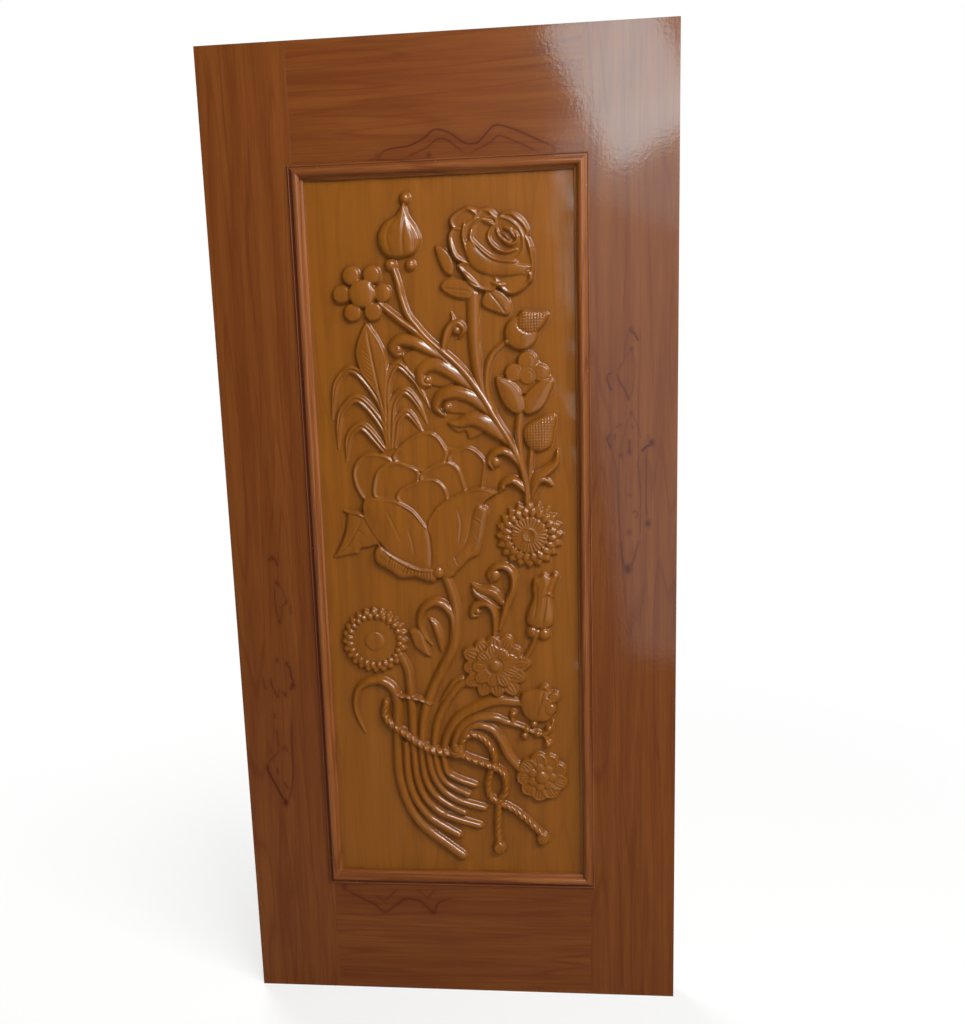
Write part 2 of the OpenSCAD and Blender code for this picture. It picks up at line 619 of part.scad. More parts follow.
module moulding_front_top() {
    color(stain_red) moulding(180, open_w, open_h);
}

module moulding_front_bottom() {
    color(stain_red) moulding(0, open_w, open_h);
}

module moulding_front_left() {
    color(stain_red) moulding(270, open_h, open_w);
}

module moulding_front_right() {
    color(stain_red) moulding(90, open_h, open_w);
}

module moulding_back_top() {
    color(stain_red) on_back() moulding(180, open_w, open_h);
}

module moulding_back_bottom() {
    color(stain_red) on_back() moulding(0, open_w, open_h);
}

module moulding_back_left() {
    color(stain_red) on_back() moulding(270, open_h, open_w);
}

module moulding_back_right() {
    color(stain_red) on_back() moulding(90, open_h, open_w);
}

module pins_front() {
    color(pin_steel) pins();
}

module pins_back() {
    color(pin_steel) on_back() pins();
}

stile_left();
stile_right();
rail_top();
rail_bottom();
carved_panel();
moulding_front_top();
moulding_front_bottom();
moulding_front_left();
moulding_front_right();
moulding_back_top();
moulding_back_bottom();
moulding_back_left();
moulding_back_right();
tenon_wedges();
pins_front();
pins_back();
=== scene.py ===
"""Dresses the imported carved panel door: carved flowers, grain figure, lacquer, light and camera."""

import math

import bmesh
import bpy
import numpy as np
from bpy.props import FloatProperty, FloatVectorProperty, PointerProperty
from mathutils import Matrix, Vector


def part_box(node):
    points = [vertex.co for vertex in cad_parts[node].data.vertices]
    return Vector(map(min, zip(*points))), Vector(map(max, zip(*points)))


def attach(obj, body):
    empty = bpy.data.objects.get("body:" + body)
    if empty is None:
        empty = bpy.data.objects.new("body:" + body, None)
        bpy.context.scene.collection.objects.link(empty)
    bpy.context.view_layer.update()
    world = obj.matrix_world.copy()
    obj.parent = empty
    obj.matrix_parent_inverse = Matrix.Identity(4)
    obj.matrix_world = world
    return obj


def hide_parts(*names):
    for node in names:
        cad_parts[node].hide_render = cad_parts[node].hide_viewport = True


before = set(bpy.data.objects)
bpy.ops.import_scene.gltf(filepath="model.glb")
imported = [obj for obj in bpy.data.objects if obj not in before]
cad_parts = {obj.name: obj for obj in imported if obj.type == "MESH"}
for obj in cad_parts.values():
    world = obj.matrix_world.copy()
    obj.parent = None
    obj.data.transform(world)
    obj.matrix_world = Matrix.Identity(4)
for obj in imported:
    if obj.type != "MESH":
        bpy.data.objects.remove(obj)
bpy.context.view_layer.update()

bl_info = {
    "name": "Carved Panel Door",
    "version": (1, 0, 0),
    "blender": (4, 5, 0),
    "location": "View3D > Sidebar > Door",
    "description": "Builds the carved panel, frame boards and mouldings of a lacquered teak door leaf",
    "category": "Object",
}

MM = 0.001
X_AXIS, Y_AXIS, Z_AXIS = range(3)

# Sizes that the CAD frame gives, in metres
STILE_LOW, STILE_HIGH = (Vector(corner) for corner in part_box("stile_right"))
PANEL_LOW, PANEL_HIGH = (Vector(corner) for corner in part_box("carved_panel"))
BOTTOM_RAIL_EDGE = Vector(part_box("rail_bottom")[1]).z
TOP_RAIL_EDGE = Vector(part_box("rail_top")[0]).z
OPENING_HALF = STILE_LOW.x
LEAF_HEIGHT = STILE_HIGH.z

# Joinery of the boards as the CAD model has it: groove, tenons, wedges and panel, in millimetres
GROOVE_W, GROOVE_D = 12.0, 12.0
TENON_H, TENON_GAP = 62.0, 52.0
WEDGE_L, WEDGE_T, WEDGE_TIP_T = 80.0, 6.0, 1.5
PANEL_T, TONGUE_T, PANEL_PLAY = 18.0, 11.5, 0.9

# The carved field inside the moulding, in millimetres from the middle and the foot of the leaf
FIELD_LOW = (-263.0, 280.0)
FIELD_HIGH = (263.0, 1730.0)

# Thickness of the carved skin's edge, in millimetres, and the number of tiles that it is made in
SKIN_T = 2.0
TILES = 4

# Farther out than any part of the leaf, in millimetres
BEYOND = 2500.0


def linear(hex_colour):
    """A linear RGBA colour from an sRGB hex value."""
    shares = [int(hex_colour[i:i + 2], 16) / 255 for i in (1, 3, 5)]
    return [s / 12.92 if s <= 0.04045 else ((s + 0.055) / 1.055) ** 2.4 for s in shares] + [1.0]


def length_property(name, description, millimetres):
    """A length setting whose default is given in millimetres."""
    return FloatProperty(name=name, description=description, default=millimetres * MM, unit="LENGTH")


def power_property(name, description, watts):
    """A setting for the power of a lamp."""
    return FloatProperty(name=name, description=description, default=watts, unit="POWER")


def colour_property(name, description, hex_colour):
    """A colour setting whose default is an sRGB hex value."""
    return FloatVectorProperty(
        name=name, description=description, subtype="COLOR", size=4, min=0.0, max=1.0,
        default=linear(hex_colour))


class DoorSizes(bpy.types.PropertyGroup):
    """Sizes of the door's finish."""

    carving_step: length_property(
        "Carving step", "Distance between the vertices of the carved face", 1.43)
    figure_step: length_property(
        "Figure step", "Distance between the vertices round the dark grain figures", 1.6)
    arris: length_property(
        "Arris", "Width of the eased edges of the stiles and rails", 0.2)
    ground_wave: length_property(
        "Ground wave", "Height of the soft unevenness left by hand on the carved ground", 0.22)


class DoorColours(bpy.types.PropertyGroup):
    """Colours of the door's finish."""

    frame_light: colour_property("Frame light", "Light streaks of the stiles and rails", "#743e12")
    frame_dark: colour_property("Frame dark", "Dark streaks of the stiles and rails", "#642f0a")
    # This colour also darkens the lips of the mouldings, where it is painted shade
    figure_and_lip_shade: colour_property("Figure", "Dark grain figures on the stiles and rails", "#441003")
    moulding_light: colour_property("Moulding light", "Light streaks of the mouldings", "#8c5023")
    moulding_dark: colour_property("Moulding dark", "Dark streaks of the mouldings", "#6a3613")
    panel_light: colour_property("Panel light", "Light streaks of the carved panel", "#864d0e")
    panel_dark: colour_property("Panel dark", "Dark streaks of the carved panel", "#774209")
    # Painted shade: the colour that darkens the carving's recesses beside the raised forms, where shade falls
    recess_dark: colour_property("Recess", "Stain gathered in the recesses of the carving", "#3f1c06")
    end_grain: colour_property("End grain", "Bare end grain of the wedges", "#9c6b3a")
    steel: colour_property("Pin steel", "Plain wire of the panel pins", "#8c8c8c")
    floor: colour_property("Floor", "Pale floor under the door", "#f2f1ee")


class DoorStage(bpy.types.PropertyGroup):
    """Light of the studio."""

    window_power: power_property(
        "Window power", "Power of the window light from the upper right", 156.0)
    fanlight_power: power_property(
        "Fanlight power", "Power of the high light that shines on the upper edges of the carving", 48.0)
    fill_power: power_property(
        "Fill power", "Power of the soft light from the left", 12.0)
    back_power: power_property(
        "Back power", "Power of the soft light behind the door", 120.0)
    glare_power: power_property(
        "Glare power", "Power of the light that glares on the upper right corner", 5.2)
    haze_power: power_property(
        "Haze power", "Power of the wide light that hazes the right-hand side", 9.5)


# Node trees of the materials

def add(tree, kind, inputs=(), **settings):
    """Adds a node with its settings, and sets or links each named or numbered input."""
    node = tree.nodes.new(kind)
    for key, value in settings.items():
        setattr(node, key, value)
    for key, value in dict(inputs).items():
        if isinstance(value, bpy.types.NodeSocket):
            tree.links.new(value, node.inputs[key])
        else:
            node.inputs[key].default_value = value
    return node


def new_material(name):
    """An empty node material and its tree."""
    material = bpy.data.materials.new(name)
    material.use_nodes = True
    material.node_tree.nodes.clear()
    return material, material.node_tree


def grain_scale(across, along, axis):
    """Mapping scale that gives a pattern one size across the grain and another along it, in mm."""
    scale = [1 / (across * MM)] * 3
    scale[axis] = 1 / (along * MM)
    return scale


def grain_pattern(tree, spot, size, axis, detail, roughness=0.5, distortion=0.0):
    """Streaks drawn out along the grain, with their size across the grain and along it in mm."""
    place = add(tree, "ShaderNodeMapping", {"Vector": spot, "Scale": grain_scale(*size, axis)})
    noise = add(tree, "ShaderNodeTexNoise", {
        "Vector": place.outputs[0], "Scale": 1.0, "Detail": detail, "Roughness": roughness,
        "Distortion": distortion})
    return noise.outputs["Fac"]


# Distances from the middle of the leaf at which the painted shade along the lip of a moulding starts to fade
# and ends
LIP_DARK = 21.6 * MM
LIP_CLEAR = 24.0 * MM

# Sizes of the wood's streaks, fibres and growth rings across the grain and along it, in millimetres. The
# fibres are drawn coarser than real ones, so that they show.
STREAK_SIZE = (24, 520)
FIBRE_SIZE = (2.6, 90)
RING_SIZE = (95, 1500)

# Growth rings in one step of their noise, the share of a ring that its line takes, and how much the line and
# the fibres change the tone
RING_COUNT = 26.0
LINE_SHARE = 0.24
LINE_DARK = 0.5
FIBRE_TONE = 0.5

# Unevenness of the lacquer: the size of its ripple, the share of the fibres in it, and its height
RIPPLE_SIZE = 7 * MM
FIBRE_RELIEF = 0.35
BUMP_HEIGHT = 0.08 * MM

# Size of the pores of bare end grain, and of the scratches across the drawn wire and along it in millimetres.
# Both are drawn coarser than real ones, so that they show.
PORE_SIZE = 1.5 * MM
SCRATCH_SIZE = (0.4, 6)


def painted_lip_shade(tree, spot, strength):
    """Painted shade along the lip of a moulding, which lies outside the opening of the frame."""
    place = add(tree, "ShaderNodeSeparateXYZ", {0: spot}).outputs
    across = add(tree, "ShaderNodeMath", {0: place["X"]}, operation="ABSOLUTE")
    beside = add(tree, "ShaderNodeMath", {0: across.outputs[0], 1: OPENING_HALF}, operation="GREATER_THAN")
    above = add(tree, "ShaderNodeMath", {0: place["Z"], 1: TOP_RAIL_EDGE}, operation="GREATER_THAN")
    below = add(tree, "ShaderNodeMath", {0: place["Z"], 1: BOTTOM_RAIL_EDGE}, operation="LESS_THAN")
    ends = add(tree, "ShaderNodeMath", {0: above.outputs[0], 1: below.outputs[0]}, operation="MAXIMUM")
    lip = add(tree, "ShaderNodeMath", {0: beside.outputs[0], 1: ends.outputs[0]}, operation="MAXIMUM")
    depth = add(tree, "ShaderNodeMath", {0: place["Y"]}, operation="ABSOLUTE")
    fade = add(tree, "ShaderNodeMapRange", {
        "Value": depth.outputs[0], "From Min": LIP_DARK, "From Max": LIP_CLEAR, "To Min": strength,
        "To Max": 0.0})
    figure_stain_and_lip_shade = add(tree, "ShaderNodeMath", {0: lip.outputs[0], 1: fade.outputs[0]}, operation="MULTIPLY")
    return figure_stain_and_lip_shade.outputs[0]


def lacquered_teak(name, light, dark, grain_axis, stain_and_shade_name, stain_and_shade_colour, contrast, gloss, lip=0.0):
    """Teak planed and stained, then sprayed with a gloss lacquer: broad soft streaks, fine fibre lines
    and thin growth lines run with the grain, and the thick coat mirrors windows with a soft ripple."""
    material, tree = new_material(name)
    spot = add(tree, "ShaderNodeTexCoord").outputs["Object"]
    broad = grain_pattern(tree, spot, STREAK_SIZE, grain_axis, 5.0, 0.6, 0.5)
    fibre = grain_pattern(tree, spot, FIBRE_SIZE, grain_axis, 3.0, 0.65)
    ring = grain_pattern(tree, spot, RING_SIZE, grain_axis, 2.0, 0.4)
    rings = add(tree, "ShaderNodeMath", {0: ring, 1: RING_COUNT}, operation="MULTIPLY")
    saw = add(tree, "ShaderNodeMath", {0: rings.outputs[0], 1: 1.0}, operation="PINGPONG")
    line = add(tree, "ShaderNodeMapRange", {
        "Value": saw.outputs[0], "From Min": 0.0, "From Max": LINE_SHARE, "To Min": 1.0, "To Max": 0.0})
    streak = add(tree, "ShaderNodeMapRange", {
        "Value": broad, "From Min": 0.32, "From Max": 0.68, "To Min": 0.0, "To Max": 1.0})
    thread = add(tree, "ShaderNodeMapRange", {
        "Value": fibre, "From Min": 0.3, "From Max": 0.7, "To Min": -0.5, "To Max": 0.5})
    tone = add(tree, "ShaderNodeMath", {
        0: thread.outputs[0], 1: FIBRE_TONE, 2: streak.outputs[0]}, operation="MULTIPLY_ADD")
    lined = add(tree, "ShaderNodeMath", {
        0: line.outputs[0], 1: -LINE_DARK, 2: tone.outputs[0]}, operation="MULTIPLY_ADD")
    shade = add(tree, "ShaderNodeMapRange", {
        "Value": lined.outputs[0], "From Min": 0.5 - 0.5 / contrast, "From Max": 0.5 + 0.5 / contrast})
    wood = add(tree, "ShaderNodeMix", {0: shade.outputs[0], 6: dark, 7: light}, data_type="RGBA")
    # The mark darkens the wood. Along a moulding's lip it is painted shade; elsewhere it comes from each
    # vertex, holding the boards' grain figures or the painted shade in the carving's recesses.
    if lip:
        mark = painted_lip_shade(tree, spot, lip)
    else:
        mark = add(tree, "ShaderNodeAttribute", attribute_name=stain_and_shade_name).outputs["Fac"]
    stained = add(tree, "ShaderNodeMix", {0: mark, 6: wood.outputs[2], 7: stain_and_shade_colour}, data_type="RGBA")
    ripple = add(tree, "ShaderNodeTexNoise", {"Vector": spot, "Scale": 1 / RIPPLE_SIZE, "Detail": 2.0})
    relief = add(tree, "ShaderNodeMath", {
        0: fibre, 1: FIBRE_RELIEF, 2: ripple.outputs["Fac"]}, operation="MULTIPLY_ADD")
    bump = add(tree, "ShaderNodeBump", {
        "Height": relief.outputs[0], "Strength": 1.0, "Distance": BUMP_HEIGHT})
    shader = add(tree, "ShaderNodeBsdfPrincipled", {
        "Base Color": stained.outputs[2], "Roughness": 0.5, "IOR": 1.5, "Specular IOR Level": 0.15,
        "Coat Weight": gloss, "Coat Roughness": 0.09, "Coat IOR": 1.5, "Normal": bump.outputs[0],
        "Coat Normal": bump.outputs[0]})
    add(tree, "ShaderNodeOutputMaterial", {"Surface": shader.outputs[0]})
    return material


def bare_end_grain(name, colour):
    """Wedge wood sawn across the fibres and left bare: fine speckle, no gloss."""
    material, tree = new_material(name)
    spot = add(tree, "ShaderNodeTexCoord").outputs["Object"]
    pores = add(tree, "ShaderNodeTexNoise", {"Vector": spot, "Scale": 1 / PORE_SIZE, "Detail": 3.0})
    dark = [c * 0.6 for c in colour[:3]] + [1.0]
    wood = add(tree, "ShaderNodeMix", {0: pores.outputs["Fac"], 6: dark, 7: colour}, data_type="RGBA")
    bump = add(tree, "ShaderNodeBump", {"Height": pores.outputs["Fac"], "Distance": BUMP_HEIGHT})
    shader = add(tree, "ShaderNodeBsdfPrincipled", {
        "Base Color": wood.outputs[2], "Roughness": 0.75, "Normal": bump.outputs[0]})
    add(tree, "ShaderNodeOutputMaterial", {"Surface": shader.outputs[0]})
    return material


def drawn_wire(name, colour):
    """Drawn steel wire with fine lengthwise scratches."""
    material, tree = new_material(name)
    spot = add(tree, "ShaderNodeTexCoord").outputs["Object"]
    scratch = grain_pattern(tree, spot, SCRATCH_SIZE, Y_AXIS, 2.0)
    rough = add(tree, "ShaderNodeMapRange", {"Value": scratch, "To Min": 0.25, "To Max": 0.5})
    shader = add(tree, "ShaderNodeBsdfPrincipled", {
        "Base Color": colour, "Metallic": 1.0, "Roughness": rough.outputs[0]})
    add(tree, "ShaderNodeOutputMaterial", {"Surface": shader.outputs[0]})
    return material


# Curves and heights of the carved relief

def smooth_line(points, closed=False, steps=6):
    """Points along the Catmull-Rom curve through some points."""
    p = np.array(points, float)
    ends = (p[-1:], p[:2]) if closed else (2 * p[:1] - p[1:2], 2 * p[-1:] - p[-2:-1])
    p = np.vstack((ends[0], p, ends[1]))
    f = np.arange(steps)[:, None] / steps
    spans = []
    for a, b, c, d in zip(p, p[1:], p[2:], p[3:]):
        second = 2 * a - 5 * b + 4 * c - d
        third = 3 * b - a - 3 * c + d
        spans.append(0.5 * (2 * b + (c - a) * f + second * f ** 2 + third * f ** 3))
    last = spans[0][:1] if closed else p[-2:-1]
    return np.vstack((*spans, last))


def measure(line, x, z):
    """Distance from a line, offset to its left, share of its length and run along it, at each sample."""
    best = np.full(x.shape, np.inf)
    offset = np.zeros(x.shape)
    run = np.zeros(x.shape)
    start = 0.0
    for a, b in zip(line, line[1:]):
        step = b - a
        length = max(math.hypot(*step), 1e-6)
        share = np.clip(((x - a[0]) * step[0] + (z - a[1]) * step[1]) / length ** 2, 0, 1)
        dx = x - a[0] - share * step[0]
        dz = z - a[1] - share * step[1]
        distance = np.hypot(dx, dz)
        closer = distance < best
        best = np.where(closer, distance, best)
        offset = np.where(closer, np.copysign(distance, step[0] * dz - step[1] * dx), offset)
        run = np.where(closer, start + share * length, run)
        start += length
    return best, offset, run / start, run


def inside(line, x, z):
    """True at the samples that lie within a closed line."""
    odd = np.zeros(x.shape, bool)
    for a, b in zip(line, line[1:]):
        if a[1] != b[1]:
            crossing = a[0] + (z - a[1]) / (b[1] - a[1]) * (b[0] - a[0])
            odd ^= ((a[1] > z) != (b[1] > z)) & (x < crossing)
    return odd


def through3(values, share):
    """Value of the parabola through a start, a middle and an end value."""
    a, b, c = values
    return a * (1 - share) * (1 - 2 * share) + b * 4 * share * (1 - share) + c * share * (2 * share - 1)


def rise(value):
    """Smooth step from 0 to 1."""
    t = np.clip(value, 0, 1)
    return t * t * (3 - 2 * t)


def blur(field, radius):
    """Gaussian blur of a grid, with a radius in samples."""
    reach = max(1, math.ceil(3 * radius))
    taps = np.exp(-0.5 * (np.arange(-reach, reach + 1) / radius) ** 2)
    taps /= taps.sum()
    for axis in (0, 1):
        padded = np.pad(field, [(reach, reach) if a == axis else (0, 0) for a in (0, 1)], mode="edge")
        count = field.shape[axis]
        field = sum(t * np.take(padded, range(k, k + count), axis) for k, t in enumerate(taps))
    return field


def ring_places(count, centre, radius, turn=0.0):
    """Places and directions of things set evenly round a centre."""
    for k in range(count):
        angle = math.radians(turn + 360 * k / count)
        direction = np.array((math.cos(angle), math.sin(angle)))
        yield np.array(centre) + radius * direction, direction


def turned(outline, centre, direction):
    """An outline drawn along +X, moved to a centre and turned to a direction."""
    across = np.array((-direction[1], direction[0]))
    return [np.array(centre) + u * direction + v * across for u, v in outline]


def disc(centre, radius, count=12):
    """A round outline."""
    return [place for place, _ in ring_places(count, centre, radius)]


class Relief:
    """Carved heights on a regular grid, in millimetres: x from the middle of the leaf, z from its foot."""

    # Width of the wall round a petal, and the least half width and height of a stroke
    wall = 2.6
    least_half, least_high = 0.8, 0.4

    # Exponents of a stroke's round section
    blunt, full = 2.2, 0.62

    # A cord's height between its strands, and their slant
    strand_low, strand_slant = 0.66, 0.42

    # Depth of a tool line at its ends, as a share of its full depth
    end_depth = 0.35

    def __init__(self, low, high, step):
        counts = [round((b - a) / step) + 1 for a, b in zip(low, high)]
        self.x, self.z = (np.linspace(a, b, n) for a, b, n in zip(low, high, counts))
        self.height = np.zeros((len(self.z), len(self.x)))

    def window(self, points, margin):
        """Part of the grid round some points, with the x and z of its samples."""
        low = np.min(points, axis=0) - margin
        high = np.max(points, axis=0) + margin
        columns = slice(*np.searchsorted(self.x, (low[0], high[0])))
        rows = slice(*np.searchsorted(self.z, (low[1], high[1])))
        return (rows, columns), *np.meshgrid(self.x[columns], self.z[rows])

    def stroke(self, route, half, high, crest=0.0, valley=0.0, twist=0.0, base=0.0):
        """A stem, blade, scroll or cord along a route. Half width and height are given at the start, the
        middle and the end, and the crest's place as a share of the half width to the left."""
        line = smooth_line(route)
        part, x, z = self.window(line, max(half) + 1)
        distance, offset, share, run = measure(line, x, z)
        width = np.maximum(through3(half, share), self.least_half)
        across = np.clip(offset / width, -1, 1)
        lean = np.where(across > crest, (across - crest) / (1 - crest), (across - crest) / (1 + crest))
        shape = np.clip(1 - np.abs(lean) ** self.blunt, 0, 1) ** self.full
        shape *= 1 - valley * np.exp(-(across / 0.3) ** 2)
        if twist:
            strand = np.abs(np.sin(np.pi * (run / twist + self.strand_slant * across))) ** 0.6
            shape *= self.strand_low + (1 - self.strand_low) * strand
        crown = np.maximum(through3(high, share), self.least_high)
        top = (base + (crown - base) * shape) * (distance < width)
        self.height[part] = np.maximum(self.height[part], top)

    def petal(self, outline, edge, crown, rim=0.0, rim_w=4.0, slope=(0.0, 0.0), spread=0.85, rounded=True):
        """A petal or leaf laid over what is behind it. Its edge and crown have their own heights, a rim
        rolls up along the edge, and a slope tips it, in millimetres for each millimetre."""
        line = smooth_line(outline, closed=True) if rounded else np.vstack((outline, outline[:1]))
        part, x, z = self.window(line, self.wall + 1)
        within = inside(line, x, z)
        depth = np.where(within, measure(line, x, z)[0], 0.0)
        climb = np.clip(depth / max(spread * depth.max(), 0.1), 0, 1)
        middle = line.mean(axis=0)
        top = edge + (crown - edge) * np.sqrt(1 - (1 - climb) ** 2)
        top += rim * np.exp(-((depth - 0.7 * rim_w) / (0.6 * rim_w)) ** 2)
        top += slope[0] * (x - middle[0]) + slope[1] * (z - middle[1])
        cover = rise(depth / self.wall) * within
        self.height[part] = self.height[part] * (1 - cover) + np.maximum(top, 1.0) * cover

    def boss(self, centre, radius, high, base=0.0):
        """A round boss or berry that stands on a base height."""
        part, x, z = self.window([centre], radius + 1)
        share = np.clip(np.hypot(x - centre[0], z - centre[1]) / radius, 0, 1)
        top = np.where(share < 1, base + (high - base) * (1 - share ** 2) ** 0.5, 0)
        self.height[part] = np.maximum(self.height[part], top)

    def crease(self, route, width, depth):
        """A tool line cut along a route."""
        line = smooth_line(route)
        part, x, z = self.window(line, 3 * width)
        distance, _, share, _ = measure(line, x, z)
        fade = np.clip(4 * np.minimum(share, 1 - share) + self.end_depth, 0, 1)
        self.height[part] -= depth * fade * np.exp(-(distance / width) ** 2)

    def hatch(self, outline, pitch, depth):
        """Crossed tool lines within an outline."""
        line = smooth_line(outline, closed=True)
        part, x, z = self.window(line, 0)
        depth_in = np.where(inside(line, x, z), measure(line, x, z)[0], 0)
        cut = np.maximum(np.cos(2 * np.pi * x / pitch), np.cos(2 * np.pi * z / pitch))
        self.height[part] -= depth * np.clip(cut, 0, 1) * rise(depth_in / 3)


# Motifs of the bouquet, drawn from the back to the front

def draw_blades(r):
    """Arching blades and the pointed leaf between them."""
    for blade in (
        [(-118, 1186), (-122, 1270), (-135, 1310), (-165, 1352), (-188, 1366), (-210, 1350), (-222, 1325),
         (-230, 1266)],
        [(-118, 1186), (-122, 1238), (-150, 1285), (-180, 1308), (-208, 1285), (-217, 1258), (-221, 1208)],
        [(-112, 1186), (-130, 1208), (-160, 1245), (-177, 1251), (-198, 1230), (-205, 1181)],
        [(-116, 1186), (-118, 1300), (-112, 1345), (-92, 1372), (-62, 1345), (-48, 1322), (-30, 1284)],
        [(-114, 1186), (-110, 1260), (-103, 1300), (-80, 1321), (-55, 1295), (-37, 1254)],
        [(-110, 1186), (-103, 1235), (-97, 1262), (-75, 1277), (-45, 1236)],
    ):
        r.stroke(blade, (4, 9.5, 1.5), (5, 8.5, 2), valley=0.5)
    leaf = [(-152, 1457), (-172, 1418), (-176, 1390), (-165, 1355), (-136, 1310), (-120, 1250), (-116, 1310),
            (-111, 1375), (-120, 1412), (-136, 1440)]
    r.petal(leaf, 4, 9, rim=1.5)
    r.crease([(-150, 1446), (-143, 1400), (-134, 1345), (-121, 1270)], 2.2, 2.2)
    for k in range(7):
        top = 1404 - 9 * k
        r.crease([(-160 + k, top), (-146 + 1.5 * k, top - 13)], 1.3, 0.9)


def draw_upper_stems(r):
    """Stems of the upper flowers and the branch down to the sunflower."""
    r.stroke([(63, 1502), (62, 1440), (63, 1400), (67, 1360), (75, 1320), (92, 1276)], (13, 12, 7),
             (7, 8, 8))
    r.stroke([(120, 1408), (100, 1390), (88, 1365), (84, 1335), (86, 1310), (92, 1285), (110, 1246)],
             (6, 7, 5), (6, 8, 8))
    r.stroke([(150, 1274), (146, 1240), (147, 1210), (150, 1180), (157, 1140)], (8, 8, 6), (7, 8, 8))
    r.stroke([(172, 1204), (167, 1160), (164, 1100)], (6, 6, 6), (6, 7, 7))
    r.stroke([(-92, 1558), (-84, 1530), (-78, 1500), (-68, 1470), (-50, 1445), (-30, 1422), (-4, 1398),
              (20, 1376)], (6.5, 7.5, 6), (8, 9, 9))
    r.stroke([(-122, 1492), (-100, 1473), (-80, 1456), (-55, 1437), (-30, 1414), (-8, 1390), (15, 1366)],
             (6.5, 7.5, 6), (8, 9, 8))
    r.stroke([(-4, 1398), (25, 1372), (50, 1342), (75, 1305), (95, 1270), (110, 1245), (125, 1220),
              (140, 1190), (150, 1165), (158, 1130), (160, 1092)], (8, 8.5, 6.5), (10, 11, 9))


def draw_scroll_leaves(r):
    """Curled leaves along the branch, each with the eye of its curl."""
    r.petal([(-80, 1390), (-50, 1404), (-12, 1386), (-36, 1357), (-58, 1351), (-74, 1366)], 2, 4.5)
    r.petal([(74, 1256), (40, 1254), (6, 1252), (24, 1235), (40, 1237), (48, 1221), (76, 1234)], 2, 5)
    r.petal([(-30, 1368), (10, 1352), (24, 1336), (-8, 1326), (-34, 1338)], 2, 4.5)
    r.petal([(10, 1312), (56, 1296), (70, 1276), (30, 1272), (0, 1280)], 2, 4.5)
    for route, half, crest in (
        ([(6, 1380), (-26, 1400), (-55, 1416), (-84, 1420), (-101, 1408), (-93, 1392), (-82, 1392)],
         (4, 13, 3), 0.4),
        ([(62, 1318), (34, 1342), (6, 1362), (-22, 1372), (-46, 1358), (-44, 1334), (-28, 1330)], (5, 16, 3),
         0.4),
        ([(100, 1262), (76, 1288), (50, 1308), (20, 1316), (-8, 1308), (-18, 1286), (-2, 1270)], (5, 15, 3),
         0.4),
        ([(134, 1206), (110, 1232), (84, 1252), (56, 1262), (28, 1254), (6, 1256)], (5, 18, 2), 0.4),
        ([(152, 1160), (138, 1182), (118, 1197), (98, 1194), (84, 1178), (92, 1162)], (4, 9, 3), 0.35),
        ([(160, 1110), (148, 1128), (132, 1138), (114, 1132), (106, 1116)], (4, 9, 4), 0.35),
        ([(0, 1390), (6, 1420), (16, 1442), (32, 1448), (42, 1436), (34, 1422)], (4, 9, 3), 0.35),
        ([(168, 1100), (178, 1140), (200, 1156), (218, 1172), (223, 1198)], (4, 12, 1.5), -0.4),
        ([(170, 1106), (182, 1132), (197, 1137), (211, 1126)], (3, 7, 3), 0.3),
        ([(98, 828), (115, 880), (128, 910), (130, 940), (115, 960), (94, 960), (78, 944), (84, 930)],
         (5, 9, 4), 0.35),
        ([(88, 816), (90, 855), (82, 878), (65, 885), (46, 876), (42, 858), (54, 856)], (5, 9, 4), 0.35),
        ([(108, 880), (86, 904), (62, 910), (42, 925)], (5, 12, 1.5), -0.4),
        ([(96, 872), (72, 888), (52, 902), (43, 918)], (4, 9, 1.5), -0.5),
    ):
        r.stroke(route, half, (7, 12.5, 7), crest=crest)
    r.stroke([(15, 1436), (22, 1456), (18, 1472)], (7, 5, 1), (8, 7, 3))
    for eye, radius in (((-90, 1402), 10), ((-33, 1341), 9), ((5, 1287), 10), ((98, 1175), 12),
                        ((28, 1436), 9), ((90, 942), 14), ((54, 866), 8), ((112, 1124), 7)):
        r.boss(eye, radius, 10.5)


def draw_poppy_bud(r):
    """A fat bud with a beaded tip and two calyx beads."""
    r.petal([(-100, 1579), (-117, 1598), (-121, 1620), (-108, 1644), (-82, 1660), (-66, 1681), (-57, 1656),
             (-42, 1632), (-35, 1608), (-48, 1585), (-74, 1577)], 4, 15.5)
    r.crease([(-72, 1660), (-92, 1640), (-101, 1612), (-93, 1582)], 3.0, 0.9)
    r.crease([(-64, 1660), (-68, 1634), (-70, 1608), (-70, 1580)], 3.0, 0.9)
    r.crease([(-60, 1650), (-50, 1622), (-48, 1604), (-52, 1588)], 2.4, 1.1)
    for place, radius in (((-64, 1688), 11), ((-97, 1565), 12), ((-58, 1563), 11)):
        r.boss(place, radius, 11)
    r.crease([(-68, 1566), (-58, 1567), (-48, 1566)], 1.5, 1.6)


def draw_round_daisy(r):
    """A domed heart with six round petals."""
    for place, _ in ring_places(6, (-156, 1512), 41):
        r.petal(disc(place, 19), 5, 10, rim=0.5, spread=1.0)
    r.petal(disc((-156, 1512), 28), 7, 14, spread=1.0)


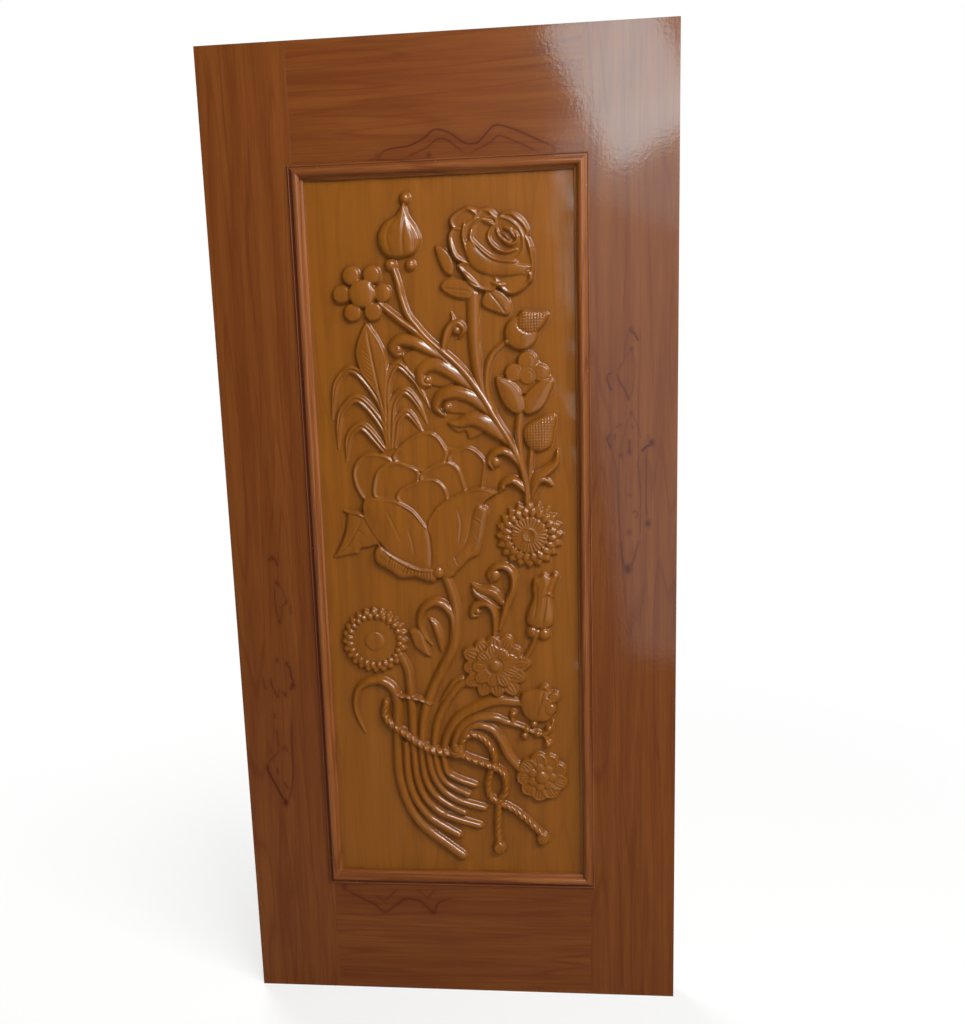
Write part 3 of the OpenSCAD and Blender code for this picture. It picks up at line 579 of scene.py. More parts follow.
def draw_rose(r):
    """An open rose: sepals, outer petals with rolled rims, a front petal and a coiled heart."""
    for sepal in ([(-10, 1596), (12, 1592), (28, 1566), (24, 1540), (4, 1551)],
                  [(-2, 1519), (18, 1537), (64, 1524), (56, 1496), (24, 1499)],
                  [(78, 1484), (92, 1514), (122, 1506), (137, 1484), (131, 1461), (104, 1468)]):
        r.petal(sepal, 3, 7.5, rim=1.0)
    r.crease([(96, 1506), (112, 1486), (126, 1466)], 1.6, 1.6)
    r.crease([(8, 1548), (0, 1570), (-8, 1590)], 1.6, 1.2)
    r.crease([(6, 1516), (28, 1514), (54, 1510)], 1.6, 1.2)
    for outline, slope in (
        ([(20, 1643), (36, 1660), (62, 1666), (86, 1658), (66, 1620), (34, 1620)], (-0.03, 0.03)),
        ([(64, 1640), (86, 1664), (112, 1645), (98, 1618), (74, 1612)], (0.0, 0.04)),
        ([(116, 1648), (136, 1656), (162, 1642), (175, 1614), (150, 1594), (120, 1616)], (0.04, 0.04)),
        ([(17, 1614), (30, 1631), (58, 1618), (68, 1562), (34, 1566), (20, 1588)], (-0.05, 0.0)),
        ([(144, 1606), (172, 1604), (184, 1560), (175, 1531), (138, 1556)], (0.05, 0.0)),
        ([(32, 1561), (62, 1564), (114, 1534), (101, 1507), (62, 1517), (41, 1546)], (-0.02, -0.03)),
        ([(104, 1534), (140, 1545), (178, 1538), (169, 1514), (145, 1500), (123, 1505)], (0.02, -0.04)),
    ):
        r.petal(outline, 7.5, 8, rim=2.6, rim_w=5, slope=slope)
    r.petal([(44, 1606), (52, 1636), (74, 1646), (100, 1640), (96, 1600), (74, 1570), (54, 1570)], 8.5, 8.5,
            rim=2.4)
    r.petal([(58, 1606), (66, 1634), (92, 1648), (130, 1646), (158, 1624), (166, 1590), (150, 1564),
             (108, 1562), (76, 1578)], 10.5, 7.5, rim=2.6)
    r.petal([(50, 1598), (64, 1606), (78, 1590), (92, 1577), (115, 1566), (146, 1562), (178, 1552),
             (152, 1536), (108, 1535), (72, 1546), (53, 1570)], 9, 13.5, slope=(0.0, 0.02))
    r.stroke([(64, 1606), (78, 1590), (92, 1577), (108, 1567), (126, 1563), (148, 1561)], (3, 5.5, 4),
             (14, 15.8, 15))
    for curl in ([(106, 1630), (97, 1616), (98, 1602), (110, 1588), (128, 1580), (150, 1584)],
                 [(112, 1624), (116, 1612), (124, 1603), (137, 1594), (149, 1597), (152, 1609), (146, 1618)],
                 [(127, 1625), (138, 1619), (146, 1607)], [(120, 1616), (129, 1610), (137, 1602)],
                 [(86, 1640), (98, 1636), (108, 1631)], [(64, 1624), (62, 1606), (70, 1590)],
                 [(50, 1636), (47, 1612), (52, 1584)]):
        r.stroke(curl, (2, 4, 2), (12, 15, 13.5), crest=0.3, base=8)
    for ruffle in ([(44, 1660), (58, 1664), (72, 1655), (78, 1644)],
                   [(84, 1660), (96, 1659), (110, 1645), (112, 1632)],
                   [(132, 1654), (146, 1648), (164, 1632), (173, 1612)],
                   [(160, 1616), (170, 1604), (177, 1582), (178, 1560)],
                   [(164, 1544), (174, 1540), (176, 1528), (166, 1518)],
                   [(40, 1552), (50, 1542), (62, 1530), (76, 1519)],
                   [(24, 1618), (25, 1596), (34, 1574), (58, 1562)], [(98, 1526), (112, 1521), (126, 1520)]):
        r.stroke(ruffle, (1.5, 5, 1.5), (9, 12.5, 9), crest=-0.45, base=6)


def draw_hatched_buds(r):
    """Two buds with a chequer of crossed tool lines."""
    r.petal(disc((155, 1427), 34), 5, 12.5, spread=1.0)
    r.boss((126, 1411), 6, 10)
    cap = [(146, 1440), (156, 1470), (182, 1469), (210, 1461), (192, 1432), (168, 1424)]
    r.petal(cap, 8, 14.5)
    r.hatch(cap, 5.6, 1.5)
    bud = [(155, 1240), (160, 1208), (184, 1193), (209, 1203), (216, 1230), (220, 1266), (186, 1262)]
    r.petal(bud, 4, 13)
    r.hatch(bud, 5.6, 1.5)


def draw_lotus_bud(r):
    """A half-open bud of round petals in two cupped sepals."""
    r.petal([(122, 1344), (128, 1360), (146, 1368), (160, 1384), (176, 1384), (190, 1370), (204, 1350),
             (210, 1336), (160, 1306)], 5, 5.5)
    for place, radius in (((166, 1372), 21), ((139, 1351), 19), ((191, 1349), 18), ((166, 1344), 18)):
        r.petal(disc(place, radius), 5.5, 9, rim=1.0, rim_w=4)
    r.petal([(157, 1304), (153, 1280), (166, 1267), (192, 1278), (209, 1305), (217, 1335), (186, 1332)], 5,
            12, rim=1.5)
    r.petal([(102, 1344), (107, 1312), (121, 1284), (146, 1269), (161, 1284), (156, 1306), (145, 1326),
             (124, 1341)], 5, 12.5, rim=1.5)


# Outlines of a small scale and of a ribbed petal, as shares of its length and width
SCALE = ((-0.5, 0.0), (-0.2, 0.42), (0.1, 0.5), (0.5, 0.0), (0.1, -0.5), (-0.2, -0.42))
RIBBED = ((0.0, 0.0), (0.25, 0.32), (0.65, 0.5), (0.9, 0.32), (1.0, 0.0), (0.9, -0.32), (0.65, -0.5),
          (0.25, -0.32))


def scale_ring(r, count, centre, radius, length, width, edge, crown, turn=0.0):
    """A ring of small pointed petals, each with a ridge."""
    for place, direction in ring_places(count, centre, radius, turn):
        outline = turned([(u * length, v * width) for u, v in SCALE], place, direction)
        r.petal(outline, edge, crown, rounded=False)


def draw_sunflower(r):
    """Two rows of pointed petals round a seed head with radial ridges."""
    centre = (163, 1026)
    r.petal(disc(centre, 60, 20), 3.5, 5.5)
    scale_ring(r, 20, centre, 57, 29, 20, 4, 8)
    scale_ring(r, 20, centre, 46, 27, 17, 6.5, 11.5, turn=9)
    head, eye = 38, 12.5
    part, x, z = r.window([centre], head + 2)
    radius = np.hypot(x - centre[0], z - centre[1])
    angle = np.arctan2(z - centre[1], x - centre[0])
    seeds = 9 + 2.2 * np.sqrt(np.clip(1 - (radius / head) ** 2, 0, 1))
    seeds += 0.9 * np.cos(26 * angle) * np.clip((radius - 13) / 10, 0, 1) * np.clip((37 - radius) / 4, 0, 1)
    seeds += 1.6 * np.exp(-((radius - eye) / 2.2) ** 2) - 1.5 * np.exp(-(radius / 5) ** 2)
    seeds += 0.7 * np.cos(12 * angle) * np.exp(-((radius - 8) / 3) ** 2)
    cover = rise((head - radius) / 2)
    r.height[part] = r.height[part] * (1 - cover) + seeds * cover


def draw_bead_daisy(r):
    """A flat dish with a low dome, edged by two rows of small scales."""
    centre = (-165, 804)
    r.petal(disc(centre, 62, 20), 4, 5.5)
    scale_ring(r, 24, centre, 62, 21, 17, 4, 8.5)
    scale_ring(r, 24, centre, 53, 20, 14, 6, 10.5, turn=7.5)
    r.petal(disc(centre, 48, 20), 5.5, 6.5)
    r.petal(disc(centre, 21), 6.5, 10, spread=1.0)


def draw_dahlia(r):
    """Two layers of pointed ribbed petals round a low dome."""
    centre = np.array((87, 750))
    for count, length, width, edge, crown, turn in ((12, 74, 36, 3.5, 8.5, 4), (9, 50, 30, 7, 12, 20)):
        for k, (place, direction) in enumerate(ring_places(count, centre, 10, turn)):
            reach = length * (1 + 0.07 * math.cos(2.4 * k + 1) - 0.1 * max(direction[1], 0))
            outline = turned([(u * (reach - 10), v * width) for u, v in RIBBED], place, direction)
            r.petal(outline, edge + 1.2 * (k % 2), crown + 0.8 * (k % 2), rim=1.2, rim_w=3.5)
            for side in (-0.22, 0.0, 0.22):
                rib = turned([(0.2 * reach, side * 0.5 * width), (0.5 * reach, side * width),
                              (0.75 * reach, side * 0.6 * width)], place, direction)
                r.crease(rib, 1.5, 1.5)
    r.petal(disc(centre, 20), 9, 11.5)
    r.petal(disc(centre, 13), 10, 15, spread=1.0)


def draw_ring_flower(r):
    """Nine ruffled lobes round a dome, each with fine ribs."""
    centre = (180, 504)
    for place, direction in ring_places(9, centre, 36, 22):
        r.petal(disc(place, 20), 5, 9, rim=2.2, rim_w=4.5)
        for side in (-9, -3, 3, 9):
            rib = turned([(-10, 0.6 * side), (2, side), (14, 1.1 * side)], place, direction)
            r.crease(rib, 1.5, 1.4)
    r.petal(disc(centre, 30), 7, 8)
    for place, _ in ring_places(7, centre, 21):
        r.petal(disc(place, 11), 7.5, 11)
    r.petal(disc(centre, 15), 9, 14.5, spread=1.0)


def draw_ribs(r, edge, fall, count):
    """Short tool lines across a turned-down lip, from its edge towards its fall."""
    edge, fall = smooth_line(edge), smooth_line(fall)
    for share in np.linspace(0.04, 0.96, count):
        high = edge[int(share * (len(edge) - 1))]
        low = fall[int(share * (len(fall) - 1))]
        r.crease([high, high + 0.3 * (low - high), high + 0.6 * (low - high)], 1.5, 0.9)


def draw_great_flower(r):
    """The large open flower: its leaf, back petals, cup and turned-down ribbed lips."""
    r.petal([(-244, 981), (-232, 1004), (-218, 1032), (-206, 1078), (-170, 1068), (-142, 1018), (-162, 1004),
             (-184, 1000), (-190, 990), (-205, 988)], 4, 8, slope=(0.02, 0.02))
    r.stroke([(-216, 1081), (-204, 1077), (-186, 1074), (-168, 1064)], (2, 5, 3), (5, 11, 9))
    r.crease([(-206, 1070), (-216, 1040), (-228, 1012), (-242, 984)], 3.0, 2.2)
    r.crease([(-180, 1062), (-196, 1030), (-216, 1004), (-236, 988)], 2.0, 1.5)
    for a, b in (((-190, 1040), (-172, 1026)), ((-200, 1022), (-180, 1010)), ((-212, 1008), (-194, 998))):
        r.crease([a, ((a[0] + b[0]) / 2, (a[1] + b[1]) / 2 + 2), b], 1.4, 0.8)
    r.petal([(-186, 1118), (-190, 1160), (-150, 1192), (-84, 1212), (-20, 1208), (34, 1200), (74, 1168),
             (66, 1110), (20, 1090), (-150, 1096)], 2.5, 3)
    for outline, height in (
        ([(-112, 1188), (-84, 1222), (-45, 1240), (-16, 1230), (3, 1192), (-20, 1160), (-80, 1160)], 4.2),
        ([(0, 1184), (34, 1208), (60, 1201), (80, 1176), (77, 1146), (68, 1112), (26, 1108)], 4.6),
        ([(-165, 1100), (-185, 1118), (-195, 1153), (-186, 1182), (-162, 1198), (-118, 1190), (-98, 1160),
          (-106, 1120)], 4.2),
        ([(-150, 1104), (-150, 1150), (-131, 1174), (-108, 1181), (-84, 1176), (-55, 1154), (-80, 1104)],
         5.6),
        ([(-58, 1148), (-40, 1166), (-18, 1176), (6, 1178), (24, 1166), (33, 1142), (37, 1112), (0, 1092),
          (-40, 1100)], 6.0),
        ([(-103, 1096), (-100, 1122), (-74, 1136), (-36, 1146), (-8, 1132), (0, 1094), (-45, 1036)], 7.2),
    ):
        r.petal(outline, height, height - 1.2, rim=2.1, rim_w=6.0)
    r.petal([(-45, 1044), (-37, 1068), (-19, 1089), (14, 1109), (60, 1123), (100, 1113), (74, 1092),
             (58, 1046), (44, 1004), (22, 974), (-10, 958), (-46, 960)], 7.5, 11.5, rim=0.8, spread=1.0)
    r.petal([(-172, 1104), (-130, 1103), (-100, 1096), (-75, 1081), (-60, 1063), (-43, 1042), (-36, 1000),
             (-42, 958), (-78, 962), (-106, 974), (-142, 1010), (-174, 1066)], 7.5, 12, rim=0.8, spread=1.0)
    r.stroke([(-150, 1101), (-126, 1101), (-100, 1094), (-75, 1079), (-60, 1061), (-46, 1041)],
             (1.5, 4, 2.5), (8, 12.5, 11))
    r.stroke([(-38, 1062), (-20, 1086), (14, 1106), (58, 1120), (98, 1113)], (1.5, 3.5, 2.5), (9, 12, 11))
    r.crease([(-45, 1042), (-40, 1020), (-38, 990), (-40, 962)], 3.0, 2.0)
    for vein in ([(-124, 1078), (-112, 1050), (-100, 1020)], [(-82, 1040), (-76, 1015), (-72, 990)],
                 [(20, 1084), (26, 1050), (20, 1010)]):
        r.crease(vein, 2.2, 1.0)
    left_edge = [(-140, 1008), (-128, 992), (-102, 976), (-66, 960), (-30, 957)]
    left_fall = [(-155, 1000), (-157, 978), (-148, 965), (-130, 955), (-110, 940), (-100, 936), (-75, 939),
                 (-50, 931), (-30, 930)]
    right_edge = [(-12, 968), (13, 988), (31, 1008), (41, 1038), (47, 1064), (60, 1090)]
    right_fall = [(0, 945), (20, 955), (40, 975), (60, 985), (70, 1010), (78, 1050), (82, 1080)]
    for edge, fall, tip, ribs in ((left_edge, left_fall, (0.04, 0.1), 26),
                                  (right_edge, right_fall, (-0.08, 0.06), 30)):
        r.petal(fall + edge[::-1], 6, 12.5, slope=tip, spread=0.9)
        draw_ribs(r, edge, fall, ribs)
    r.stroke([(-146, 1008), (-137, 998), (-120, 983), (-98, 970), (-66, 956), (-30, 952)], (3, 6, 5),
             (10, 14.5, 13), crest=0.3)
    # The ribs run on over the rolled edge, so they are cut once more
    draw_ribs(r, left_edge, left_fall, 26)
    r.boss((-6, 958), 20, 11.5, base=6)
    r.boss((-25, 950), 12, 14.5, base=8)


def draw_lower_stems(r):
    """Stems that rise from the tie, and the arched stalk with its hanging bud."""
    r.stroke([(-12, 945), (2, 905), (8, 870), (6, 830), (0, 790), (-20, 750), (-45, 700), (-64, 650),
              (-72, 600), (-75, 556)], (10, 11, 8), (8, 10, 9))
    r.stroke([(-122, 782), (-108, 764), (-98, 740), (-95, 710), (-93, 680), (-92, 640), (-92, 560)],
             (9, 10, 8), (7, 9, 9))
    r.stroke([(36, 722), (5, 700), (-20, 665), (-40, 620), (-50, 556)], (8, 9, 7), (7, 9, 9))
    r.stroke([(16, 722), (0, 714), (-14, 696), (-32, 668)], (4, 5, 1), (7, 8, 5))
    r.stroke([(140, 668), (90, 672), (50, 660), (10, 638), (-15, 605), (-32, 552)], (9, 11, 7), (7, 10, 9),
             crest=0.25)
    r.stroke([(130, 618), (110, 625), (80, 635), (40, 633), (8, 610), (-12, 556)], (6, 9, 6), (7, 10, 9),
             crest=0.25)
    r.stroke([(140, 518), (125, 532), (108, 555), (95, 585), (75, 610), (45, 618), (20, 604), (0, 556)],
             (11, 9, 6), (8, 10, 9), crest=0.2)
    r.stroke([(2, 800), (3, 836), (0, 860), (-18, 882), (-40, 886), (-62, 869), (-69, 840), (-58, 812),
              (-43, 793)], (5, 9, 1.5), (8, 11, 4), crest=0.3)
    r.petal([(-92, 828), (-88, 810), (-77, 786), (-47, 767), (-54, 797), (-68, 828)], 3, 7.5)
    r.stroke([(-24, 778), (-27, 812), (-36, 838), (-46, 850)], (1.5, 9, 3), (3, 9, 5), crest=0.3)
    r.stroke([(-195, 598), (-208, 630), (-214, 660), (-206, 695), (-185, 713), (-160, 717), (-140, 708),
              (-127, 690), (-123, 660), (-126, 610), (-128, 572)], (1.5, 10, 9), (3, 11, 10))


def draw_cut_stems(r):
    """Cut ends of the stems below the tie."""
    for route, half in (
        ([(-30, 562), (-22, 515), (0, 497), (37, 483)], 7.5),
        ([(-47, 566), (-40, 515), (-20, 485), (22, 462)], 7.5),
        ([(-62, 570), (-55, 515), (-35, 475), (0, 448), (55, 431)], 8.5),
        ([(-77, 570), (-72, 510), (-55, 467), (-25, 440), (12, 420)], 8),
        ([(-92, 572), (-88, 505), (-72, 455), (-40, 420), (0, 403), (44, 390)], 8.5),
        ([(-108, 576), (-106, 500), (-92, 450), (-65, 410), (-35, 388), (-2, 368)], 9),
        ([(-128, 594), (-128, 540), (-126, 500), (-115, 455), (-95, 410), (-65, 375), (-30, 347), (6, 319)],
         10.5),
    ):
        r.stroke(route, (half - 1, half, half), (9, 10, 9.5))


def draw_bell_bud(r):
    """A hanging bell with a split lip and two calyx beads."""
    r.stroke([(176, 822), (166, 794), (150, 764)], (6, 6, 6), (7, 7, 7))
    r.petal([(170, 936), (165, 916), (167, 896), (157, 870), (152, 848), (161, 834), (186, 827), (208, 838),
             (212, 866), (208, 896), (216, 922), (223, 940), (213, 949), (203, 940), (192, 948), (180, 938)],
            4, 12)
    r.crease([(205, 940), (196, 900), (190, 860), (186, 832)], 2.6, 2.0)
    r.crease([(176, 925), (176, 890), (170, 850)], 2.4, 1.2)
    r.stroke([(190, 898), (200, 905), (207, 896)], (3, 4, 2), (12, 13.5, 11))
    for place in ((165, 822), (190, 817)):
        r.boss(place, 13, 11)


def draw_side_tulip(r):
    """A tulip seen from the side, with curled lips."""
    r.petal([(141, 690), (137, 658), (146, 638), (160, 628), (192, 627), (208, 645), (212, 668), (196, 708),
             (172, 700)], 4, 12)
    r.crease([(188, 700), (180, 670), (170, 640)], 2.4, 1.6)
    r.stroke([(178, 700), (190, 704), (196, 694)], (3, 5, 3), (9, 12, 9))
    for lobe, radius in (((209, 682), 13), ((193, 672), 11), ((201, 655), 12)):
        r.petal(disc(lobe, radius), 8, 12.5, rim=1.5, rim_w=3.5)


def draw_berry_twig(r):
    """A forked twig with berries."""
    r.stroke([(120, 622), (140, 615), (165, 603), (186, 596), (195, 574)], (6, 6, 4), (8, 8, 6))
    r.stroke([(180, 598), (197, 606), (206, 628)], (5, 6, 2), (7, 9, 5))
    r.stroke([(122, 624), (118, 640)], (4, 5, 4), (7, 8, 7))
    for berry in ((122, 644), (145, 596), (165, 621), (172, 600), (197, 612), (194, 577), (150, 610)):
        r.boss(berry, 9, 11)


def draw_cord(r):
    """The twisted cord round the stems, with two hanging ends and their tassels."""
    pitch = 15.0
    r.stroke([(-122, 684), (-80, 677), (-52, 666)], (5, 5.5, 5), (12, 13, 12), twist=pitch)
    r.stroke([(4, 563), (20, 592), (38, 598), (60, 586), (76, 562), (80, 540), (72, 515), (65, 490),
              (66, 465), (78, 450), (115, 430), (140, 410), (160, 390), (177, 373)], (8, 8.5, 8),
             (14, 12, 11), twist=pitch)
    r.stroke([(4, 556), (25, 545), (60, 532), (80, 525), (97, 512), (103, 490), (100, 465), (88, 447),
              (85, 420), (83, 380), (85, 350)], (8, 8.5, 8), (15, 14.5, 11), twist=pitch)
    r.stroke([(-147, 668), (-151, 640), (-138, 620), (-115, 603), (-80, 577), (-50, 562), (-4, 556)],
             (8.5, 9.5, 9), (13, 16, 15.5), twist=pitch)
    r.boss((1, 560), 16, 16, base=6)
    r.crease([(-12, 566), (0, 560), (14, 568)], 2.0, 2.0)
    r.crease([(-8, 552), (4, 556), (14, 550)], 2.0, 1.6)
    for place in ((180, 363), (86, 340)):
        r.petal(disc(place, 15, 8), 5, 12, rim=1.5)
        for k in range(4):
            r.crease([(place[0] - 10 + 6 * k, place[1] + 6), (place[0] - 12 + 7 * k, place[1] - 12)], 1.4,
                     1.2)


# Slope at which a wall starts, the further slope to a full wall, and the blur of faces and walls in samples
WALL_SLOPE, WALL_SPAN = 0.7, 1.2
FACE_BLUR, WALL_BLUR = 0.5, 1.25

# Painted shade in the recesses close to a form and wide round it: reach and depth in millimetres, and
# strength
NEAR_PAINTED_SHADE = (4.2, 4.5, 0.45)
WIDE_PAINTED_SHADE = (11, 6, 0.1)

# Size of the soft unevenness of the ground, in millimetres
GROUND_SIZE = 16


def carve(low, high, step, wave):
    """The whole carved field: the bouquet on a ground that is flat to the eye and a little uneven."""
    r = Relief(low, high, step)
    for draw in (draw_blades, draw_upper_stems, draw_scroll_leaves, draw_poppy_bud, draw_round_daisy,
                 draw_rose, draw_lotus_bud, draw_hatched_buds, draw_lower_stems, draw_great_flower,
                 draw_sunflower, draw_bead_daisy, draw_bell_bud, draw_dahlia, draw_side_tulip,
                 draw_berry_twig, draw_ring_flower, draw_cut_stems, draw_cord):
        draw(r)
    slopes = np.gradient(r.height, step)
    steep = blur(rise((np.hypot(*slopes) - WALL_SLOPE) / WALL_SPAN), 1.0)
    r.height = blur(r.height, FACE_BLUR) * (1 - steep) + blur(r.height, WALL_BLUR) * steep
    # The recesses beside the raised forms are darkened by painted shade, kept for each sample
    recess = sum(strength * np.clip((blur(r.height, reach / step) - r.height) / depth, 0, 1)
                 for reach, depth, strength in (NEAR_PAINTED_SHADE, WIDE_PAINTED_SHADE))
    noise = np.random.default_rng(7).standard_normal(r.height.shape)
    ground = blur(noise, GROUND_SIZE / step)
    r.height = r.height + wave * ground / ground.std()
    r.recess = np.clip(recess, 0, 1)
    return r


# Dark grain figures on the stiles and rails, in millimetres: routes with their half width and strength, then
# knots as x, z, radius and strength

TOP_FIGURE = (
    (([(-128, 1759), (-112, 1765), (-98, 1775), (-80, 1779), (-50, 1782), (-20, 1795), (-5, 1807),
       (10, 1808), (30, 1800), (45, 1789), (58, 1781), (70, 1780), (82, 1782), (100, 1800), (112, 1810),
       (125, 1810), (150, 1802), (180, 1788), (210, 1774), (238, 1760)], 2.0, 0.88),
     ([(-62, 1760), (-40, 1768), (-15, 1778), (0, 1789), (12, 1792), (25, 1788), (40, 1776), (58, 1762)],
      2.2, 0.66),
     ([(62, 1762), (85, 1772), (105, 1781), (117, 1791), (132, 1789), (152, 1780), (178, 1768), (198, 1758)],
      2.2, 0.61),
     ([(-118, 1758), (-60, 1757), (0, 1757)], 2.0, 0.55)),
    ((-13, 1763, 5, 0.7), (-110, 1763, 7, 0.5), (225, 1764, 6, 0.4)))
RIGHT_FIGURE = (
    (([(367, 1426), (375, 1416), (381, 1404)], 2.2, 0.88),
     ([(367, 1426), (361, 1418), (358, 1410), (355, 1386), (353, 1367), (347, 1357), (333, 1347)], 1.9,
      0.46),
     ([(333, 1347), (323, 1342), (321, 1334), (325, 1319), (333, 1309)], 2.1, 0.79),
     ([(368, 1391), (373, 1367), (373, 1338), (369, 1309), (362, 1294)], 1.9, 0.44),
     ([(368, 1391), (361, 1382), (349, 1363), (341, 1346)], 1.8, 0.39),
     ([(341, 1346), (341, 1338), (345, 1328), (355, 1311), (362, 1294)], 2.1, 0.79),
     ([(327, 1228), (321, 1218), (323, 1208), (328, 1197)], 2.2, 0.88),
     ([(337, 1228), (333, 1213)], 1.9, 0.66),
     ([(337, 1237), (343, 1243), (351, 1245)], 1.9, 0.50),
     ([(367, 1268), (359, 1243), (350, 1214), (346, 1184)], 1.8, 0.33),
     ([(367, 1268), (379, 1243), (385, 1222), (384, 1214)], 1.8, 0.40),
     ([(368, 1245), (370, 1236)], 1.9, 0.55),
     ([(364, 1216), (364, 1190)], 2.1, 0.83),
     ([(387, 1191), (396, 1200), (404, 1204), (409, 1211)], 2.9, 0.94),
     ([(398, 1224), (407, 1211)], 1.8, 0.39),
     ([(384, 1190), (380, 1170), (382, 1145), (385, 1105), (385, 1050), (382, 1012)], 1.9, 0.46),
     ([(397, 1192), (396, 1164), (396, 1120), (396, 1085), (399, 1050)], 2.1, 0.55),
     ([(396, 1030), (396, 990), (396, 946)], 1.9, 0.33),
     ([(329, 1193), (338, 1156), (341, 1115), (343, 1055), (346, 1016)], 1.9, 0.46),
     ([(346, 1016), (349, 980), (353, 962), (360, 950)], 2.2, 0.72),
     ([(382, 1012), (376, 990), (371, 971), (361, 950)], 2.2, 0.68),
     ([(369, 1067), (375, 1073), (380, 1065), (375, 1057)], 1.8, 0.55)),
    ((360, 955, 8, 0.95), (367, 1426, 5, 0.7), (368, 1389, 4, 0.65), (362, 1296, 4, 0.7),
     (321, 1217, 4, 0.6), (367, 1266, 4, 0.6), (347, 1184, 4.5, 0.65), (364, 1191, 4.5, 0.8),
     (407, 1208, 6, 0.9), (400, 1047, 6, 0.85), (364, 1105, 4, 0.42), (363, 1030, 4.5, 0.55),
     (357, 1030, 3, 0.35), (382, 1010, 4, 0.4)))
LEFT_FIGURE = (
    (([(-382, 979), (-371, 986), (-364, 978), (-361, 967)], 2.2, 0.77),
     ([(-370, 924), (-371, 891), (-369, 869), (-364, 848)], 1.9, 0.55),
     ([(-360, 928), (-351, 908), (-347, 891)], 1.9, 0.44),
     ([(-347, 891), (-357, 880), (-364, 879)], 2.1, 0.61),
     ([(-357, 880), (-358, 865), (-364, 848)], 1.9, 0.55),
     ([(-338, 884), (-339, 864)], 1.9, 0.50),
     ([(-355, 756), (-348, 742), (-347, 727), (-343, 714), (-345, 706)], 2.2, 0.83),
     ([(-408, 722), (-407, 709), (-403, 698)], 2.1, 0.61),
     ([(-393, 725), (-391, 711), (-387, 698), (-380, 683)], 2.1, 0.64),
     ([(-374, 701), (-380, 684)], 1.9, 0.53),
     ([(-370, 694), (-363, 686)], 2.1, 0.55),
     ([(-389, 646), (-389, 632)], 2.2, 0.55),
     ([(-387, 611), (-386, 589), (-385, 567)], 2.2, 0.66),
     ([(-379, 560), (-372, 569), (-365, 556)], 2.1, 0.64),
     ([(-385, 567), (-387, 558), (-398, 545), (-411, 532)], 2.1, 0.55),
     ([(-411, 532), (-414, 519), (-408, 504), (-400, 486), (-388, 460), (-379, 438)], 2.6, 0.94),
     ([(-393, 520), (-389, 505)], 2.1, 0.66),
     ([(-379, 489), (-371, 475)], 2.2, 0.66),
     ([(-353, 628), (-356, 563), (-356, 523), (-360, 486), (-366, 460), (-373, 445), (-378, 436)], 2.2,
      0.66)),
    ((-378, 441, 7, 0.95), (-413, 521, 5, 0.7), (-371, 984, 5, 0.75), (-366, 932, 4, 0.75),
     (-361, 928, 4, 0.55), (-364, 848, 4, 0.75), (-347, 891, 4, 0.65), (-375, 764, 4, 0.7),
     (-355, 755, 4, 0.7), (-345, 708, 6, 0.85), (-350, 701, 4, 0.6), (-380, 684, 4, 0.65),
     (-363, 687, 4, 0.6), (-372, 475, 4, 0.5)))
BOTTOM_FIGURE = (
    (([(-264, 247), (-250, 234), (-235, 225), (-210, 212), (-192, 203), (-182, 192), (-172, 185),
       (-160, 190), (-145, 203), (-125, 217), (-105, 217), (-90, 212), (-78, 200), (-68, 190), (-61, 185),
       (-56, 200), (-46, 213), (-15, 224)], 2.7, 0.72),
     ([(-192, 226), (-183, 218), (-172, 214), (-160, 220), (-150, 232), (-140, 242)], 2.2, 0.55),
     ([(-98, 242), (-85, 230), (-73, 222), (-66, 232), (-55, 242)], 2.2, 0.50)),
    ((-258, 243, 7, 0.6), (-63, 188, 6, 0.65), (-172, 187, 5, 0.4), (-71, 224, 4, 0.45)))


# Parts of the boards' fronts that are finely divided for the figures, from low to high corners. The left
# stile's is given as its mirror image, because the stile is made as a right-hand one.
TOP_ZONE = ((-140, 1753), (250, 1825))
RIGHT_ZONE = ((310, 935), (430, 1442))
LEFT_ZONE = ((330, 422), (424, 996))
BOTTOM_ZONE = ((-275, 175), (5, 256))

# Strength of the soft shade beside a figure's line and its width in half widths, and how tall a knot is
SHADE_SHARE, SHADE_W = 0.28, 4
KNOT_TALL = 1.4


def figure_marks(figure, x, z):
    """How dark a grain figure is at some places, from 0 to 1."""
    routes, knots = figure
    dark = np.zeros(x.shape)
    for route, half, strength in routes:
        distance, _, share, _ = measure(smooth_line(route), x, z)
        taper = 0.35 + 0.65 * np.clip(8 * np.minimum(share, 1 - share), 0, 1)
        dark = np.maximum(dark, strength * taper * np.exp(-(distance / half) ** 2))
        dark = np.maximum(dark, SHADE_SHARE * strength * taper * np.exp(-distance / (SHADE_W * half)))
    for knot_x, knot_z, radius, strength in knots:
        distance = np.hypot(x - knot_x, (z - knot_z) / KNOT_TALL)
        dark = np.maximum(dark, strength * np.exp(-(distance / radius) ** 2))
    return dark


# Meshes of the pieces

def add_piece(name, mesh, material, slot, *nodes):
    """An object for a finished mesh, riding on the leaf in place of some CAD nodes."""
    piece = bpy.data.objects.new(name, mesh)
    bpy.context.scene.collection.objects.link(piece)
    mesh.materials.append(material)
    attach(piece, "root")
    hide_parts(*nodes)
    return piece


def finished_mesh(name, bm):
    """A mesh from a bmesh, which is freed."""
    mesh = bpy.data.meshes.new(name)
    bm.to_mesh(mesh)
    bm.free()
    return mesh


def box_mesh(low, high):
    """A bmesh box between two corners."""
    bm = bmesh.new()
    middle = Matrix.Translation((low + high) / 2)
    bmesh.ops.create_cube(bm, size=1.0, matrix=middle @ Matrix.Diagonal((*(high - low), 1.0)))
    return bm


def slice_at(bm, axis, places):
    """Cuts a mesh into rows at some places along an axis, in metres."""
    normal = Vector([float(k == axis) for k in range(3)])
    for place in sorted(places):
        bmesh.ops.bisect_plane(
            bm, geom=bm.verts[:] + bm.edges[:] + bm.faces[:], dist=1e-7, plane_co=normal * place,
            plane_no=normal)


